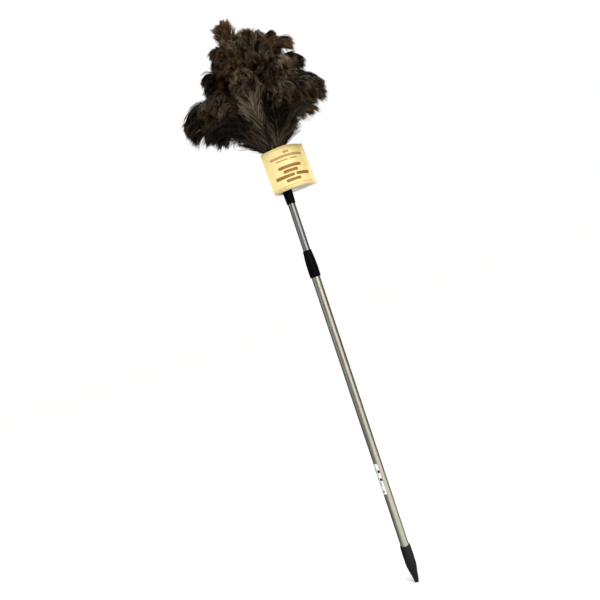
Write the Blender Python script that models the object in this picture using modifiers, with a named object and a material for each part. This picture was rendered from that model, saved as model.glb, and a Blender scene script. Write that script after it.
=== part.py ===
"""Ostrich feather duster on a two-tube telescopic pole, built as the separate pieces it is made of.

Units are metres and +Z runs up the pole, with the feathers at the top and the front at -Y.
The origin is on the pole's axis, where a hand holds the lower tube.
"""

import math
from typing import NamedTuple

import bmesh
import bpy
import numpy as np
from mathutils import Matrix, Vector

# Clearances and the roundness of the model
GAP = 0.0003  # between any two pieces that touch
OVERRUN = 0.003  # how far every cutter runs past what it cuts
TURNED_STEPS = 32  # facets round a turned piece
FINE_STEPS = 24  # facets round a small hole or a hidden piece
ARC_POINTS = 3  # points on each rounded edge of a turned outline
MERGE_DISTANCE = 0.00005  # welds the seam of a turned shape
WIRE_MERGE_DISTANCE = 0.000005  # welds the caps of a thin wire

# The pole, from the bottom up, as it shows from outside
GRIP_HEIGHT = 0.150  # from the end cap's tip up to the origin
CAP_LENGTH = 0.088
OUTER_TUBE_SHOWN = 0.650
COLLAR_LENGTH = 0.064
INNER_TUBE_SHOWN = 0.113
SOCKET_SHOWN = 0.030

# Tubes
OUTER_TUBE_RADIUS = 0.010
OUTER_TUBE_WALL = 0.0009
INNER_TUBE_RADIUS = 0.0085
INNER_TUBE_WALL = 0.0009
INNER_TUBE_LENGTH = 0.700
TUBE_EDGE = 0.0003  # broken edge at a tube's ends

# End cap with its hanging tongue
CAP_WALL = 0.0024
CAP_SEAT_DEPTH = 0.042  # how far the outer tube goes into the cap
CAP_EDGE = 0.0008
TONGUE_LENGTH = 0.021
TONGUE_THICKNESS = 0.0112  # at the hanging hole
TONGUE_TAPER_DEG = 10.5  # each flat leans in towards the tip
TONGUE_TIP_RADIUS = 0.0076
TONGUE_SHOULDER = 0.004  # round where the tongue runs out into the cap
HANG_HOLE_RADIUS = 0.00315
HANG_HOLE_HEIGHT = 0.0078  # its centre above the cap's tip
CAP_BARREL_SHARES = (  # of the cap's radius, and of the height from the tongue up to the rim
    (1.0, 0.62),
    (0.97, 0.34),
    (0.925, 0.25),
    (0.80, 0.115),
    (0.68, 0.03),
)
TONGUE_SHARES = (  # of the tongue's radius at its tip, and of its length
    (1.11, 0.92),
    (1.04, 0.50),
    (1.0, 0.25),
    (0.84, 0.09),
    (0.50, 0.015),
)

# White label stuck on the lower tube
LABEL_LENGTH = 0.073
LABEL_WIDTH = 0.030
LABEL_THICKNESS = 0.0002
LABEL_HEIGHT = 0.127  # its foot above the cap's rim
LABEL_MIDDLE_DEG = 176.0  # where its middle faces, from +X towards +Y

# Twist lock: collet, clamp ring and collar
COLLET_WALL = 0.001
COLLET_SLEEVE = 0.018  # over the outer tube
COLLET_FOOT = 0.004  # from the collar's foot up to the collet's
COLLET_SHOULDER = 0.0025
FINGER_LENGTH = 0.0125
FINGER_WALL = 0.0016
SLOT_WIDTH = 0.0015
SLOT_DEPTH = 0.009
SLOT_COUNT = 4
CLAMP_HEIGHT = 0.0095
CLAMP_WALL = 0.0014
CLAMP_TAPER = 0.0006
CLAMP_SPLIT = 0.002
COLLAR_WALL = 0.0011
COLLAR_TOP_WALL = 0.0013
COLLAR_EDGE = 0.0012
COLLAR_GROOVE_HEIGHT = 0.0034
COLLAR_GROOVE_WIDTH = 0.001
COLLAR_GROOVE_DEPTH = 0.0004
COLLAR_LIP = 0.0135  # length of the top that closes on the inner tube
COLLAR_BELLY_SHARES = (  # of the step from its top radius to its full one, and of its length
    (0.30, 0.84),
    (0.68, 0.69),
    (0.91, 0.53),
    (1.0, 0.34),
)

# Foot plug and guide ring at the inner tube's lower end
PLUG_STEM = 0.024
PLUG_FLANGE = 0.002
GUIDE_HEIGHT = 0.008
GUIDE_WALL = 0.002
GUIDE_SPLIT = 0.0012

# Screw tip in the inner tube's upper end, and the socket that takes it
TUBE_IN_SOCKET = 0.022
TIP_STEM = 0.020
TIP_FLANGE = 0.002
STUD_RADIUS = 0.0055
STUD_LENGTH = 0.014
STUD_EDGE = 0.0008
SOCKET_LEDGE = 0.0015
SOCKET_HIDDEN = 0.026  # the socket's length behind the tag
SOCKET_WALL = 0.0013
SOCKET_FLARE = 0.0013  # how much wider the socket is at the tag's foot than at its own
SOCKET_BELLY_SHARES = (0.45, 0.30)  # of that flare, and of the shown length where it is reached
SOCKET_FLANGE = 0.0025
SOCKET_EDGE = 0.0008

# Neck, where the quills are bound round a wooden stick
STICK_RADIUS = 0.007
STICK_ABOVE = 0.004  # the stick's length above the inner binding
QUILL_RADIUS = 0.0014
BINDING_WALL = 0.0008
BINDING_STEP = 0.003  # each binding ends this much above the next one out
NECK_BELOW_TAG = 0.015  # from the tag's top edge down to the outer binding's top
NECK_WRAP_WALL = 0.0012
NECK_WRAP_SHORT = 0.002
NECK_WRAP_WAIST = 0.0004
PLUME_BELOW_TAG = 0.005  # from the tag's top edge down to where the plumes start to lean out

# Card tag, folded round the neck and stapled at its right edge
TAG_HEIGHT = 0.098
TAG_THICKNESS = 0.0005
TAG_LEFT = 0.033  # from the pole's axis to the fold
TAG_RIGHT = 0.073  # from the pole's axis to the stapled edge
TAG_TURN_DEG = 18.0  # turned round the pole, so that its stapled edge lies further back
TAG_TILT_DEG = 2.4  # tipped in its own plane
TAG_SEAM = 0.006  # width of the stapled strip
TAG_BACK_DROP = 0.002  # the back leaf hangs this much lower at its right end
TAG_POINTS = 12  # facets along each leaf
TAG_FIT_PLACES = 81  # across the neck, where the fit of the card round it is worked out
STAPLE_CROWN = 0.010
STAPLE_WIRE_RADIUS = 0.0003
STAPLE_LEG_TURN = 0.004
STAPLE_HEIGHT = 0.049  # its middle above the tag's foot
STAPLE_STANDOFF = 0.001  # the wire's middle to the card's middle

# Feathers
PLUME_STATIONS = 13
SCALLOP_SHARES = (1.0, 0.9, 1.0, 0.86)  # ragged edge, repeated along a plume
TIP_START_SHARE = 0.72  # where a plume starts to round off
ROOT_PULL_SHARE = 0.40  # of the way to its tip, how far a plume holds its lean
QUILL_APART = 0.020  # length over which a plume stays between the quills beside it
PLUME_FREE = 0.070  # length past which it may spread behind or before them
PLUME_OVER_TAG = 0.004  # the barbs' ends stay this far above the tag
WIDEST_SIDE_DEG = 55.0
SECTION_SHARES = (  # width and thickness shares of the points round a plume
    (0.0, 1.0),
    (0.5, 0.8),
    (1.0, 0.0),
    (0.5, -0.8),
    (0.0, -1.0),
    (-0.5, -0.8),
    (-1.0, 0.0),
    (-0.5, 0.8),
)

# Heights of the stack, from the bottom up
CAP_TIP_Z = -GRIP_HEIGHT
CAP_RIM_Z = CAP_TIP_Z + CAP_LENGTH
COLLAR_FOOT_Z = CAP_RIM_Z + OUTER_TUBE_SHOWN
COLLAR_TOP_Z = COLLAR_FOOT_Z + COLLAR_LENGTH
SOCKET_FOOT_Z = COLLAR_TOP_Z + INNER_TUBE_SHOWN
TAG_FOOT_Z = SOCKET_FOOT_Z + SOCKET_SHOWN
TAG_TOP_Z = TAG_FOOT_Z + TAG_HEIGHT
SOCKET_TOP_Z = TAG_FOOT_Z + SOCKET_HIDDEN
OUTER_TUBE_FOOT_Z = CAP_RIM_Z - CAP_SEAT_DEPTH
COLLET_FOOT_Z = COLLAR_FOOT_Z + COLLET_FOOT
OUTER_TUBE_TOP_Z = COLLET_FOOT_Z + COLLET_SLEEVE
FINGER_FOOT_Z = OUTER_TUBE_TOP_Z + GAP + COLLET_SHOULDER
FINGER_TOP_Z = FINGER_FOOT_Z + FINGER_LENGTH
CLAMP_FOOT_Z = FINGER_TOP_Z + GAP
CLAMP_TOP_Z = CLAMP_FOOT_Z + CLAMP_HEIGHT
INNER_TUBE_TOP_Z = SOCKET_FOOT_Z + TUBE_IN_SOCKET
INNER_TUBE_FOOT_Z = INNER_TUBE_TOP_Z - INNER_TUBE_LENGTH
TIP_FLANGE_TOP_Z = INNER_TUBE_TOP_Z + GAP + TIP_FLANGE
STUD_TOP_Z = TIP_FLANGE_TOP_Z + STUD_LENGTH
STICK_FOOT_Z = STUD_TOP_Z + SOCKET_LEDGE
QUILL_FOOT_Z = SOCKET_TOP_Z + GAP
PLUME_START_Z = TAG_TOP_Z - PLUME_BELOW_TAG
OUTER_BINDING_TOP_Z = TAG_TOP_Z - NECK_BELOW_TAG
MIDDLE_BINDING_TOP_Z = OUTER_BINDING_TOP_Z + BINDING_STEP
INNER_BINDING_TOP_Z = MIDDLE_BINDING_TOP_Z + BINDING_STEP
NECK_WRAP_TOP_Z = OUTER_BINDING_TOP_Z - NECK_WRAP_SHORT

# Radii that follow from what sits inside what
OUTER_TUBE_BORE = OUTER_TUBE_RADIUS - OUTER_TUBE_WALL
INNER_TUBE_BORE = INNER_TUBE_RADIUS - INNER_TUBE_WALL
CAP_BORE = OUTER_TUBE_RADIUS + GAP
CAP_RADIUS = CAP_BORE + CAP_WALL
LABEL_BORE = OUTER_TUBE_RADIUS + GAP
COLLET_SLEEVE_BORE = OUTER_TUBE_RADIUS + GAP
COLLET_RADIUS = COLLET_SLEEVE_BORE + COLLET_WALL
COLLET_BORE = INNER_TUBE_RADIUS + GAP
FINGER_RADIUS = COLLET_BORE + FINGER_WALL
CLAMP_BORE = INNER_TUBE_RADIUS + GAP
CLAMP_RADIUS = CLAMP_BORE + CLAMP_WALL
COLLAR_THREAD_BORE = COLLET_RADIUS + GAP
COLLAR_RADIUS = COLLAR_THREAD_BORE + COLLAR_WALL
COLLAR_MOUTH_BORE = INNER_TUBE_RADIUS + GAP
COLLAR_TOP_RADIUS = COLLAR_MOUTH_BORE + COLLAR_TOP_WALL
PLUG_STEM_RADIUS = INNER_TUBE_BORE - GAP
GUIDE_RADIUS = OUTER_TUBE_BORE - GAP
GUIDE_BORE = GUIDE_RADIUS - GUIDE_WALL
PLUG_GROOVE_RADIUS = GUIDE_BORE - GAP
SOCKET_BORE = INNER_TUBE_RADIUS + GAP
SOCKET_FOOT_RADIUS = SOCKET_BORE + SOCKET_WALL
SOCKET_RADIUS = SOCKET_FOOT_RADIUS + SOCKET_FLARE
STUD_BORE = STUD_RADIUS + GAP
STICK_BORE = STICK_RADIUS + GAP
QUILL_SPACE = 2 * (QUILL_RADIUS + GAP)  # radial room that one ring of quills takes
INNER_RING = STICK_RADIUS + GAP + QUILL_RADIUS
INNER_BINDING_BORE = STICK_RADIUS + QUILL_SPACE
INNER_BINDING_RADIUS = INNER_BINDING_BORE + BINDING_WALL
MIDDLE_RING = INNER_BINDING_RADIUS + GAP + QUILL_RADIUS
MIDDLE_BINDING_BORE = INNER_BINDING_RADIUS + QUILL_SPACE
MIDDLE_BINDING_RADIUS = MIDDLE_BINDING_BORE + BINDING_WALL
OUTER_RING = MIDDLE_BINDING_RADIUS + GAP + QUILL_RADIUS
OUTER_BINDING_BORE = MIDDLE_BINDING_RADIUS + QUILL_SPACE
OUTER_BINDING_RADIUS = OUTER_BINDING_BORE + BINDING_WALL
NECK_WRAP_BORE = OUTER_BINDING_RADIUS + GAP
NECK_WRAP_RADIUS = NECK_WRAP_BORE + NECK_WRAP_WALL


class Layer(NamedTuple):
    """One ring of plumes, bound at the same radius of the neck."""

    name: str
    ring: float  # radius of the ring of quills
    reach: float  # from the pole's axis to the furthest tip
    rise: float  # from the tag's top edge up to the highest tip
    half_width: float
    thickness: float  # half of the plume's, at its middle
    swell: float  # length over which the plume reaches its thickness
    hang: float  # how far the barbs' ends hang below the shaft
    hang_start_share: float
    hang_full_share: float
    hang_tip_share: float  # what is left of the hang at the tip
    wide_share: float  # of the length, where the plume is at its full width
    tip_width_share: float  # what is left of the half width at the very tip


class Plume(NamedTuple):
    """One plume of a layer. Its tip is given in shares of the layer's reach and rise."""

    azimuth: float  # degrees from +X towards +Y
    reach_share: float
    rise_share: float
    lean: float  # degrees from straight up, at the neck
    droop: float  # the same at the tip
    fall_share: float  # of the way back from the tip, where it bends over to its droop


OUTER_LAYER = Layer(
    name="outer_plume",
    ring=OUTER_RING,
    reach=0.182,
    rise=0.108,
    half_width=0.046,
    thickness=0.0024,
    swell=0.060,
    hang=0.056,
    hang_start_share=0.18,
    hang_full_share=0.60,
    hang_tip_share=0.52,
    wide_share=0.34,
    tip_width_share=0.50,
)
MIDDLE_LAYER = Layer(
    name="middle_plume",
    ring=MIDDLE_RING,
    reach=0.128,
    rise=0.196,
    half_width=0.042,
    thickness=0.0024,
    swell=0.060,
    hang=0.044,
    hang_start_share=0.28,
    hang_full_share=0.72,
    hang_tip_share=0.55,
    wide_share=0.34,
    tip_width_share=0.50,
)
INNER_LAYER = Layer(
    name="inner_plume",
    ring=INNER_RING,
    reach=0.122,
    rise=0.262,
    half_width=0.038,
    thickness=0.0022,
    swell=0.060,
    hang=0.042,
    hang_start_share=0.32,
    hang_full_share=0.76,
    hang_tip_share=0.60,
    wide_share=0.40,
    tip_width_share=0.55,
)
CORE_LAYER = Layer(
    name="core_plume",
    ring=INNER_RING,
    reach=0.036,
    rise=0.302,
    half_width=0.036,
    thickness=0.0022,
    swell=0.060,
    hang=0.014,
    hang_start_share=0.30,
    hang_full_share=0.80,
    hang_tip_share=0.60,
    wide_share=0.60,
    tip_width_share=0.80,
)

# Each plume's azimuth, reach, rise, lean, droop and fall, going round from the left
OUTER_PLUMES = (
    Plume(180, 0.97, 1.06, 25, 148, 0.62),
    Plume(215, 0.82, 1.10, 24, 140, 0.50),
    Plume(260, 0.54, 1.58, 19, 84, 0.20),
    Plume(300, 0.72, 0.96, 27, 130, 0.40),
    Plume(330, 0.80, 0.94, 27, 142, 0.44),
    Plume(0, 0.85, 1.09, 24, 150, 0.56),
    Plume(34, 0.80, 1.00, 25, 144, 0.48),
    Plume(70, 0.78, 0.94, 27, 138, 0.42),
    Plume(106, 0.80, 0.92, 27, 138, 0.42),
    Plume(143, 0.90, 1.00, 25, 144, 0.52),
)
MIDDLE_PLUMES = (
    Plume(172, 0.84, 1.04, 21, 140, 0.34),
    Plume(210, 0.62, 1.14, 17, 112, 0.24),
    Plume(248, 0.58, 1.06, 14, 76, 0.20),
    Plume(288, 0.72, 1.00, 18, 100, 0.25),
    Plume(326, 0.84, 0.90, 22, 130, 0.38),
    Plume(8, 1.00, 0.95, 21, 142, 0.42),
    Plume(50, 0.86, 1.02, 21, 128, 0.36),
    Plume(92, 0.78, 1.02, 21, 118, 0.32),
    Plume(133, 0.84, 1.02, 21, 126, 0.34),
)
INNER_PLUMES = (
    Plume(184, 0.54, 0.99, 12, 100, 0.16),
    Plume(206, 0.47, 0.97, 10, 60, 0.14),
    Plume(262, 0.47, 0.98, 10, 56, 0.14),
    Plume(306, 0.66, 0.95, 12, 100, 0.20),
    Plume(357, 0.95, 0.88, 14, 122, 0.35),
    Plume(22, 0.74, 1.05, 11, 84, 0.22),
    Plume(72, 0.60, 1.06, 11, 80, 0.16),
    Plume(150, 0.62, 1.04, 12, 90, 0.16),
)
CORE_PLUMES = (
    Plume(229, 1.20, 1.00, 3, 18, 0.20),
    Plume(333, 1.00, 0.91, 3, 24, 0.20),
    Plume(110, 0.90, 0.98, 4, 22, 0.20),
)

# Finishes: red, green, blue, roughness and metallic
FINISHES = {
    "champagne_aluminium": (0.42, 0.41, 0.36, 0.38, 1.0),
    "black_polypropylene": (0.012, 0.013, 0.014, 0.42, 0.0),
    "white_acetal": (0.72, 0.72, 0.70, 0.40, 0.0),
    "beech": (0.52, 0.35, 0.19, 0.60, 0.0),
    "waxed_thread": (0.20, 0.13, 0.07, 0.80, 0.0),
    "black_cloth_tape": (0.02, 0.02, 0.02, 0.85, 0.0),
    "yellow_card": (0.93, 0.80, 0.42, 0.70, 0.0),
    "white_paper": (0.85, 0.85, 0.84, 0.60, 0.0),
    "zinc_wire": (0.60, 0.60, 0.62, 0.35, 1.0),
    "dark_ostrich": (0.045, 0.031, 0.022, 0.95, 0.0),
    "brown_ostrich": (0.075, 0.052, 0.036, 0.95, 0.0),
}


def clear_scene():
    """Removes every object and leftover datablock that this file would make again."""
    for thing in list(bpy.data.objects):
        bpy.data.objects.remove(thing, do_unlink=True)
    for group in (bpy.data.meshes, bpy.data.curves, bpy.data.materials, bpy.data.collections):
        for block in list(group):
            group.remove(block)


def new_collection(name):
    """A collection of its own under the scene."""
    collection = bpy.data.collections.new(name)
    bpy.context.scene.collection.children.link(collection)
    return collection


def finish(name):
    """The named finish as a Principled material."""
    material = bpy.data.materials.get(name)
    if material is None:
        red, green, blue, roughness, metallic = FINISHES[name]
        material = bpy.data.materials.new(name)
        material.use_nodes = True
        shader = material.node_tree.nodes["Principled BSDF"]
        shader.inputs["Base Color"].default_value = (red, green, blue, 1.0)
        shader.inputs["Roughness"].default_value = roughness
        shader.inputs["Metallic"].default_value = metallic
        material.diffuse_color = (red, green, blue, 1.0)
    return material


def add_piece(name, mesh, parent, material, smooth_deg=35.0):
    """Links a mesh as a named piece of the duster, under the empty that carries it."""
    thing = bpy.data.objects.new(name, mesh)
    PIECES.objects.link(thing)
    mesh.materials.append(finish(material))
    mesh.shade_smooth()
    mesh.set_sharp_from_angle(angle=math.radians(smooth_deg))
    place_under(thing, parent)
    return thing


def place_under(thing, parent):
    """Parents a thing whose mesh is in world places, and keeps it where it is."""
    thing.parent = parent
    thing.location = -parent.location


def carrier(name, height):
    """An empty on the pole's axis that carries the pieces of one moving body."""
    empty = bpy.data.objects.new(name, None)
    empty.location = (0.0, 0.0, height)
    PIECES.objects.link(empty)
    return empty


def rounded(corners, closed=True):
    """Points of a turned outline. A corner is (radius, height) or (radius, height, round)."""
    points = []
    count = len(corners)
    for index, corner in enumerate(corners):
        here = Vector(corner[:2])
        size = corner[2] if len(corner) > 2 else 0.0
        if size == 0.0 or (not closed and index in (0, count - 1)):
            points.append(here)
            continue
        before = (Vector(corners[index - 1][:2]) - here).normalized()
        after = (Vector(corners[(index + 1) % count][:2]) - here).normalized()
        half = before.angle(after) / 2
        centre = here + (before + after).normalized() * (size / math.sin(half))
        start = here + before * (size / math.tan(half)) - centre
        end = here + after * (size / math.tan(half)) - centre
        sweep = start.angle_signed(end)
        for step in range(ARC_POINTS):
            turn = -sweep * step / (ARC_POINTS - 1)
            cos, sin = math.cos(turn), math.sin(turn)
            points.append(centre + Vector((start.x * cos - start.y * sin, start.x * sin + start.y * cos)))
    return points


def turned_mesh(name, corners, closed=True, steps=TURNED_STEPS):
    """Turns an outline once round the pole's axis, which makes one closed body.

    The outline runs down its outer side. An open outline starts and ends on the axis.
    """
    points = rounded(corners, closed)
    count = len(points)
    edges = [(i, i + 1) for i in range(count - 1)]
    if closed:
        edges.append((count - 1, 0))
    outline = bpy.data.meshes.new(name + "_outline")
    outline.from_pydata([(p.x, 0.0, p.y) for p in points], edges, [])
    holder = bpy.data.objects.new(name + "_holder", outline)
    CUTTERS.objects.link(holder)
    screw = holder.modifiers.new("turn", "SCREW")
    screw.steps = steps
    screw.render_steps = steps
    screw.use_merge_vertices = True
    screw.merge_threshold = MERGE_DISTANCE
    return apply_modifiers(holder, name)


def apply_modifiers(holder, name):
    """The mesh of an object with its modifiers applied. The holder is removed."""
    bpy.context.view_layer.update()
    evaluated = holder.evaluated_get(bpy.context.evaluated_depsgraph_get())
    mesh = bpy.data.meshes.new_from_object(evaluated)
    mesh.name = name
    old = holder.data
    bpy.data.objects.remove(holder, do_unlink=True)
    if isinstance(old, bpy.types.Mesh):
        bpy.data.meshes.remove(old)
    return mesh


def box_cutter(name, low, high):
    """A box from one corner to the other, kept as a hidden cutter."""
    mesh = bpy.data.meshes.new(name)
    shape = bmesh.new()
    bmesh.ops.create_cube(shape, size=1.0)
    size = Vector(high) - Vector(low)
    middle = (Vector(high) + Vector(low)) / 2
    bmesh.ops.scale(shape, vec=size, verts=shape.verts)
    bmesh.ops.translate(shape, vec=middle, verts=shape.verts)
    shape.to_mesh(mesh)
    shape.free()
    return keep_cutter(name, mesh)


def rod_cutter(name, radius, *runs, steps=FINE_STEPS):
    """Rods of one radius, each from a start to an end, kept as one hidden cutter."""
    mesh = bpy.data.meshes.new(name)
    shape = bmesh.new()
    for start, end in runs:
        start, end = Vector(start), Vector(end)
        along = end - start
        rod = bmesh.ops.create_cone(
            shape, cap_ends=True, segments=steps, radius1=radius, radius2=radius, depth=along.length
        )["verts"]
        bmesh.ops.rotate(shape, matrix=along.to_track_quat("Z", "Y").to_matrix(), verts=rod)
        bmesh.ops.translate(shape, vec=(start + end) / 2, verts=rod)
    shape.to_mesh(mesh)
    shape.free()
    return keep_cutter(name, mesh)


def keep_cutter(name, mesh):
    """Links a cutter's mesh out of the render, shown as wire."""
    cutter = bpy.data.objects.new(name, mesh)
    CUTTERS.objects.link(cutter)
    cutter.hide_render = True
    cutter.display_type = "WIRE"
    return cutter


def cut(thing, *cutters):
    """Cuts each cutter out of a piece. Both have their meshes in world places."""
    for cutter in cutters:
        place_under(cutter, thing.parent)
        hole = thing.modifiers.new(cutter.name, "BOOLEAN")
        hole.operation = "DIFFERENCE"
        hole.solver = "EXACT"
        hole.object = cutter
    return thing


def tube_corners(radius, bore, foot_z, top_z, edge):
    """Outline of a plain tube with broken outer edges."""
    return (
        (radius - edge, top_z),
        (radius, top_z - edge),
        (radius, foot_z + edge),
        (radius - edge, foot_z),
        (bore, foot_z),
        (bore, top_z),
    )


def build_end_cap(parent):
    """Moulded cap: round where it takes the tube, drawn in to a tapered tongue with a hanging hole."""
    tongue_top = CAP_TIP_Z + TONGUE_LENGTH
    barrel = CAP_LENGTH - TONGUE_LENGTH
    seat_z = OUTER_TUBE_FOOT_Z - GAP
    corners = [
        (0.0, seat_z),
        (CAP_BORE, seat_z),
        (CAP_BORE, CAP_RIM_Z),
        (CAP_RADIUS - CAP_EDGE / 2, CAP_RIM_Z, CAP_EDGE),
    ]
    corners += [(CAP_RADIUS * wide, tongue_top + barrel * high) for wide, high in CAP_BARREL_SHARES]
    corners += [(TONGUE_TIP_RADIUS * wide, CAP_TIP_Z + TONGUE_LENGTH * high) for wide, high in TONGUE_SHARES]
    corners.append((0.0, CAP_TIP_Z))
    cap = add_piece("end_cap", turned_mesh("end_cap", corners, closed=False), parent, "black_polypropylene")
    half = TONGUE_THICKNESS / 2
    hole_z = CAP_TIP_Z + HANG_HOLE_HEIGHT
    reach = CAP_RADIUS + OVERRUN
    low = CAP_TIP_Z - OVERRUN
    for side, name in ((-1, "tongue_left_cutter"), (1, "tongue_right_cutter")):
        near, far = sorted((side * half, side * reach))
        flat = box_cutter(name, (near, -reach, low), (far, reach, tongue_top))
        round_inner_edge(flat, side * half, tongue_top)
        pivot = Matrix.Translation((side * half, 0, hole_z))
        taper = Matrix.Rotation(math.radians(side * TONGUE_TAPER_DEG), 4, "Y")
        flat.data.transform(pivot @ taper @ pivot.inverted())
        cut(cap, flat)
    hole = rod_cutter("hang_hole_cutter", HANG_HOLE_RADIUS, ((-reach, 0, hole_z), (reach, 0, hole_z)))
    return cut(cap, hole)


def round_inner_edge(cutter, x, z):
    """Rounds the one long edge of a box cutter that lies at x and z."""
    shape = bmesh.new()
    shape.from_mesh(cutter.data)
    near = [
        edge
        for edge in shape.edges
        if all(abs(v.co.x - x) < MERGE_DISTANCE and abs(v.co.z - z) < MERGE_DISTANCE for v in edge.verts)
    ]
    bmesh.ops.bevel(
        shape, geom=near, offset=TONGUE_SHOULDER / 2, segments=ARC_POINTS, profile=0.5, affect="EDGES"
    )
    shape.to_mesh(cutter.data)
    shape.free()


def build_outer_tube(parent):
    """Lower tube, from its seat in the cap to the collet."""
    ends = OUTER_TUBE_FOOT_Z, OUTER_TUBE_TOP_Z
    corners = tube_corners(OUTER_TUBE_RADIUS, OUTER_TUBE_BORE, *ends, TUBE_EDGE)
    return add_piece("outer_tube", turned_mesh("outer_tube", corners), parent, "champagne_aluminium")


def build_label(parent):
    """Thin label that follows the lower tube's left side."""
    radius = LABEL_BORE + LABEL_THICKNESS
    foot = CAP_RIM_Z + LABEL_HEIGHT
    steps = FINE_STEPS // 2
    half_angle = LABEL_WIDTH / LABEL_BORE / 2
    middle = math.radians(LABEL_MIDDLE_DEG)
    mesh = bpy.data.meshes.new("tube_label")
    shape = bmesh.new()
    rows = []
    for step in range(steps + 1):
        angle = middle - half_angle + 2 * half_angle * step / steps
        cos, sin = math.cos(angle), math.sin(angle)
        rows.append([shape.verts.new((radius * cos, radius * sin, z)) for z in (foot, foot + LABEL_LENGTH)])
    for before, after in zip(rows, rows[1:], strict=False):
        shape.faces.new((before[0], after[0], after[1], before[1]))
    shape.to_mesh(mesh)
    shape.free()
    label = add_piece("tube_label", mesh, parent, "white_paper")
    skin = label.modifiers.new("paper", "SOLIDIFY")
    skin.thickness = LABEL_THICKNESS
    skin.offset = -1.0
    return label


def build_collet(parent):
    """Sleeve fixed on the lower tube's end, with slotted fingers round the inner tube."""
    shoulder_z = OUTER_TUBE_TOP_Z + GAP
    corners = (
        (FINGER_RADIUS, FINGER_TOP_Z),
        (FINGER_RADIUS, FINGER_FOOT_Z),
        (COLLET_RADIUS, FINGER_FOOT_Z),
        (COLLET_RADIUS, COLLET_FOOT_Z),
        (COLLET_SLEEVE_BORE, COLLET_FOOT_Z),
        (COLLET_SLEEVE_BORE, shoulder_z),
        (COLLET_BORE, shoulder_z),
        (COLLET_BORE, FINGER_TOP_Z),
    )
    collet = add_piece("collet_body", turned_mesh("collet_body", corners), parent, "white_acetal")
    reach = COLLET_RADIUS + OVERRUN
    half = SLOT_WIDTH / 2
    low, high = FINGER_TOP_Z - SLOT_DEPTH, FINGER_TOP_Z + OVERRUN
    for index in range(SLOT_COUNT // 2):
        slot = box_cutter(f"finger_slot_cutter_{index + 1}", (-reach, -half, low), (reach, half, high))
        turn = math.pi * 2 * index / SLOT_COUNT
        slot.rotation_euler.z = turn
        cut(collet, slot)
    return collet


def build_clamp_ring(parent):
    """Split tapered ring that the collar squeezes on the inner tube."""
    corners = (
        (CLAMP_RADIUS - CLAMP_TAPER, CLAMP_TOP_Z),
        (CLAMP_RADIUS, CLAMP_FOOT_Z),
        (CLAMP_BORE, CLAMP_FOOT_Z),
        (CLAMP_BORE, CLAMP_TOP_Z),
    )
    ring = add_piece("clamp_ring", turned_mesh("clamp_ring", corners), parent, "white_acetal")
    half = CLAMP_SPLIT / 2
    split = box_cutter(
        "clamp_split_cutter",
        (0.0, -half, CLAMP_FOOT_Z - OVERRUN),
        (CLAMP_RADIUS + OVERRUN, half, CLAMP_TOP_Z + OVERRUN),
    )
    return cut(ring, split)


def build_collar(parent):
    """Twist collar: screwed on the collet, with a cone inside that closes the clamp ring."""
    groove_foot = COLLAR_FOOT_Z + COLLAR_GROOVE_HEIGHT
    groove_top = groove_foot + COLLAR_GROOVE_WIDTH
    groove_radius = COLLAR_RADIUS - COLLAR_GROOVE_DEPTH
    step_z = FINGER_FOOT_Z + COLLET_SHOULDER
    lip_z = COLLAR_TOP_Z - COLLAR_LIP
    cone_foot = CLAMP_RADIUS + 2 * GAP
    cone_top = cone_foot - CLAMP_TAPER
    belly = [
        (COLLAR_TOP_RADIUS + (COLLAR_RADIUS - COLLAR_TOP_RADIUS) * wide, COLLAR_FOOT_Z + COLLAR_LENGTH * high)
        for wide, high in COLLAR_BELLY_SHARES
    ]
    corners = (
        (COLLAR_TOP_RADIUS, COLLAR_TOP_Z, COLLAR_EDGE),
        *belly,
        (COLLAR_RADIUS, groove_top),
        (groove_radius, groove_top),
        (groove_radius, groove_foot),
        (COLLAR_RADIUS, groove_foot),
        (COLLAR_RADIUS - COLLAR_EDGE / 4, COLLAR_FOOT_Z, COLLAR_EDGE / 2),
        (COLLAR_THREAD_BORE, COLLAR_FOOT_Z),
        (COLLAR_THREAD_BORE, step_z),
        (FINGER_RADIUS + GAP, step_z),
        (cone_foot, CLAMP_FOOT_Z - GAP),
        (cone_top, lip_z),
        (COLLAR_MOUTH_BORE, lip_z),
        (COLLAR_MOUTH_BORE, COLLAR_TOP_Z),
    )
    return add_piece("twist_collar", turned_mesh("twist_collar", corners), parent, "black_polypropylene")


def build_guide_ring(parent):
    """Split ring that slides in the lower tube and sits in the foot plug's groove."""
    top = INNER_TUBE_FOOT_Z - GAP - PLUG_FLANGE - GAP
    foot = top - GUIDE_HEIGHT
    corners = (
        (GUIDE_RADIUS - TUBE_EDGE, top),
        (GUIDE_RADIUS, top - TUBE_EDGE),
        (GUIDE_RADIUS, foot + TUBE_EDGE),
        (GUIDE_RADIUS - TUBE_EDGE, foot),
        (GUIDE_BORE, foot),
        (GUIDE_BORE, top),
    )
    mesh = turned_mesh("guide_ring", corners, steps=FINE_STEPS)
    ring = add_piece("guide_ring", mesh, parent, "white_acetal")
    half = GUIDE_SPLIT / 2
    split = box_cutter(
        "guide_split_cutter", (0.0, -half, foot - OVERRUN), (GUIDE_RADIUS + OVERRUN, half, top + OVERRUN)
    )
    return cut(ring, split)


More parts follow.
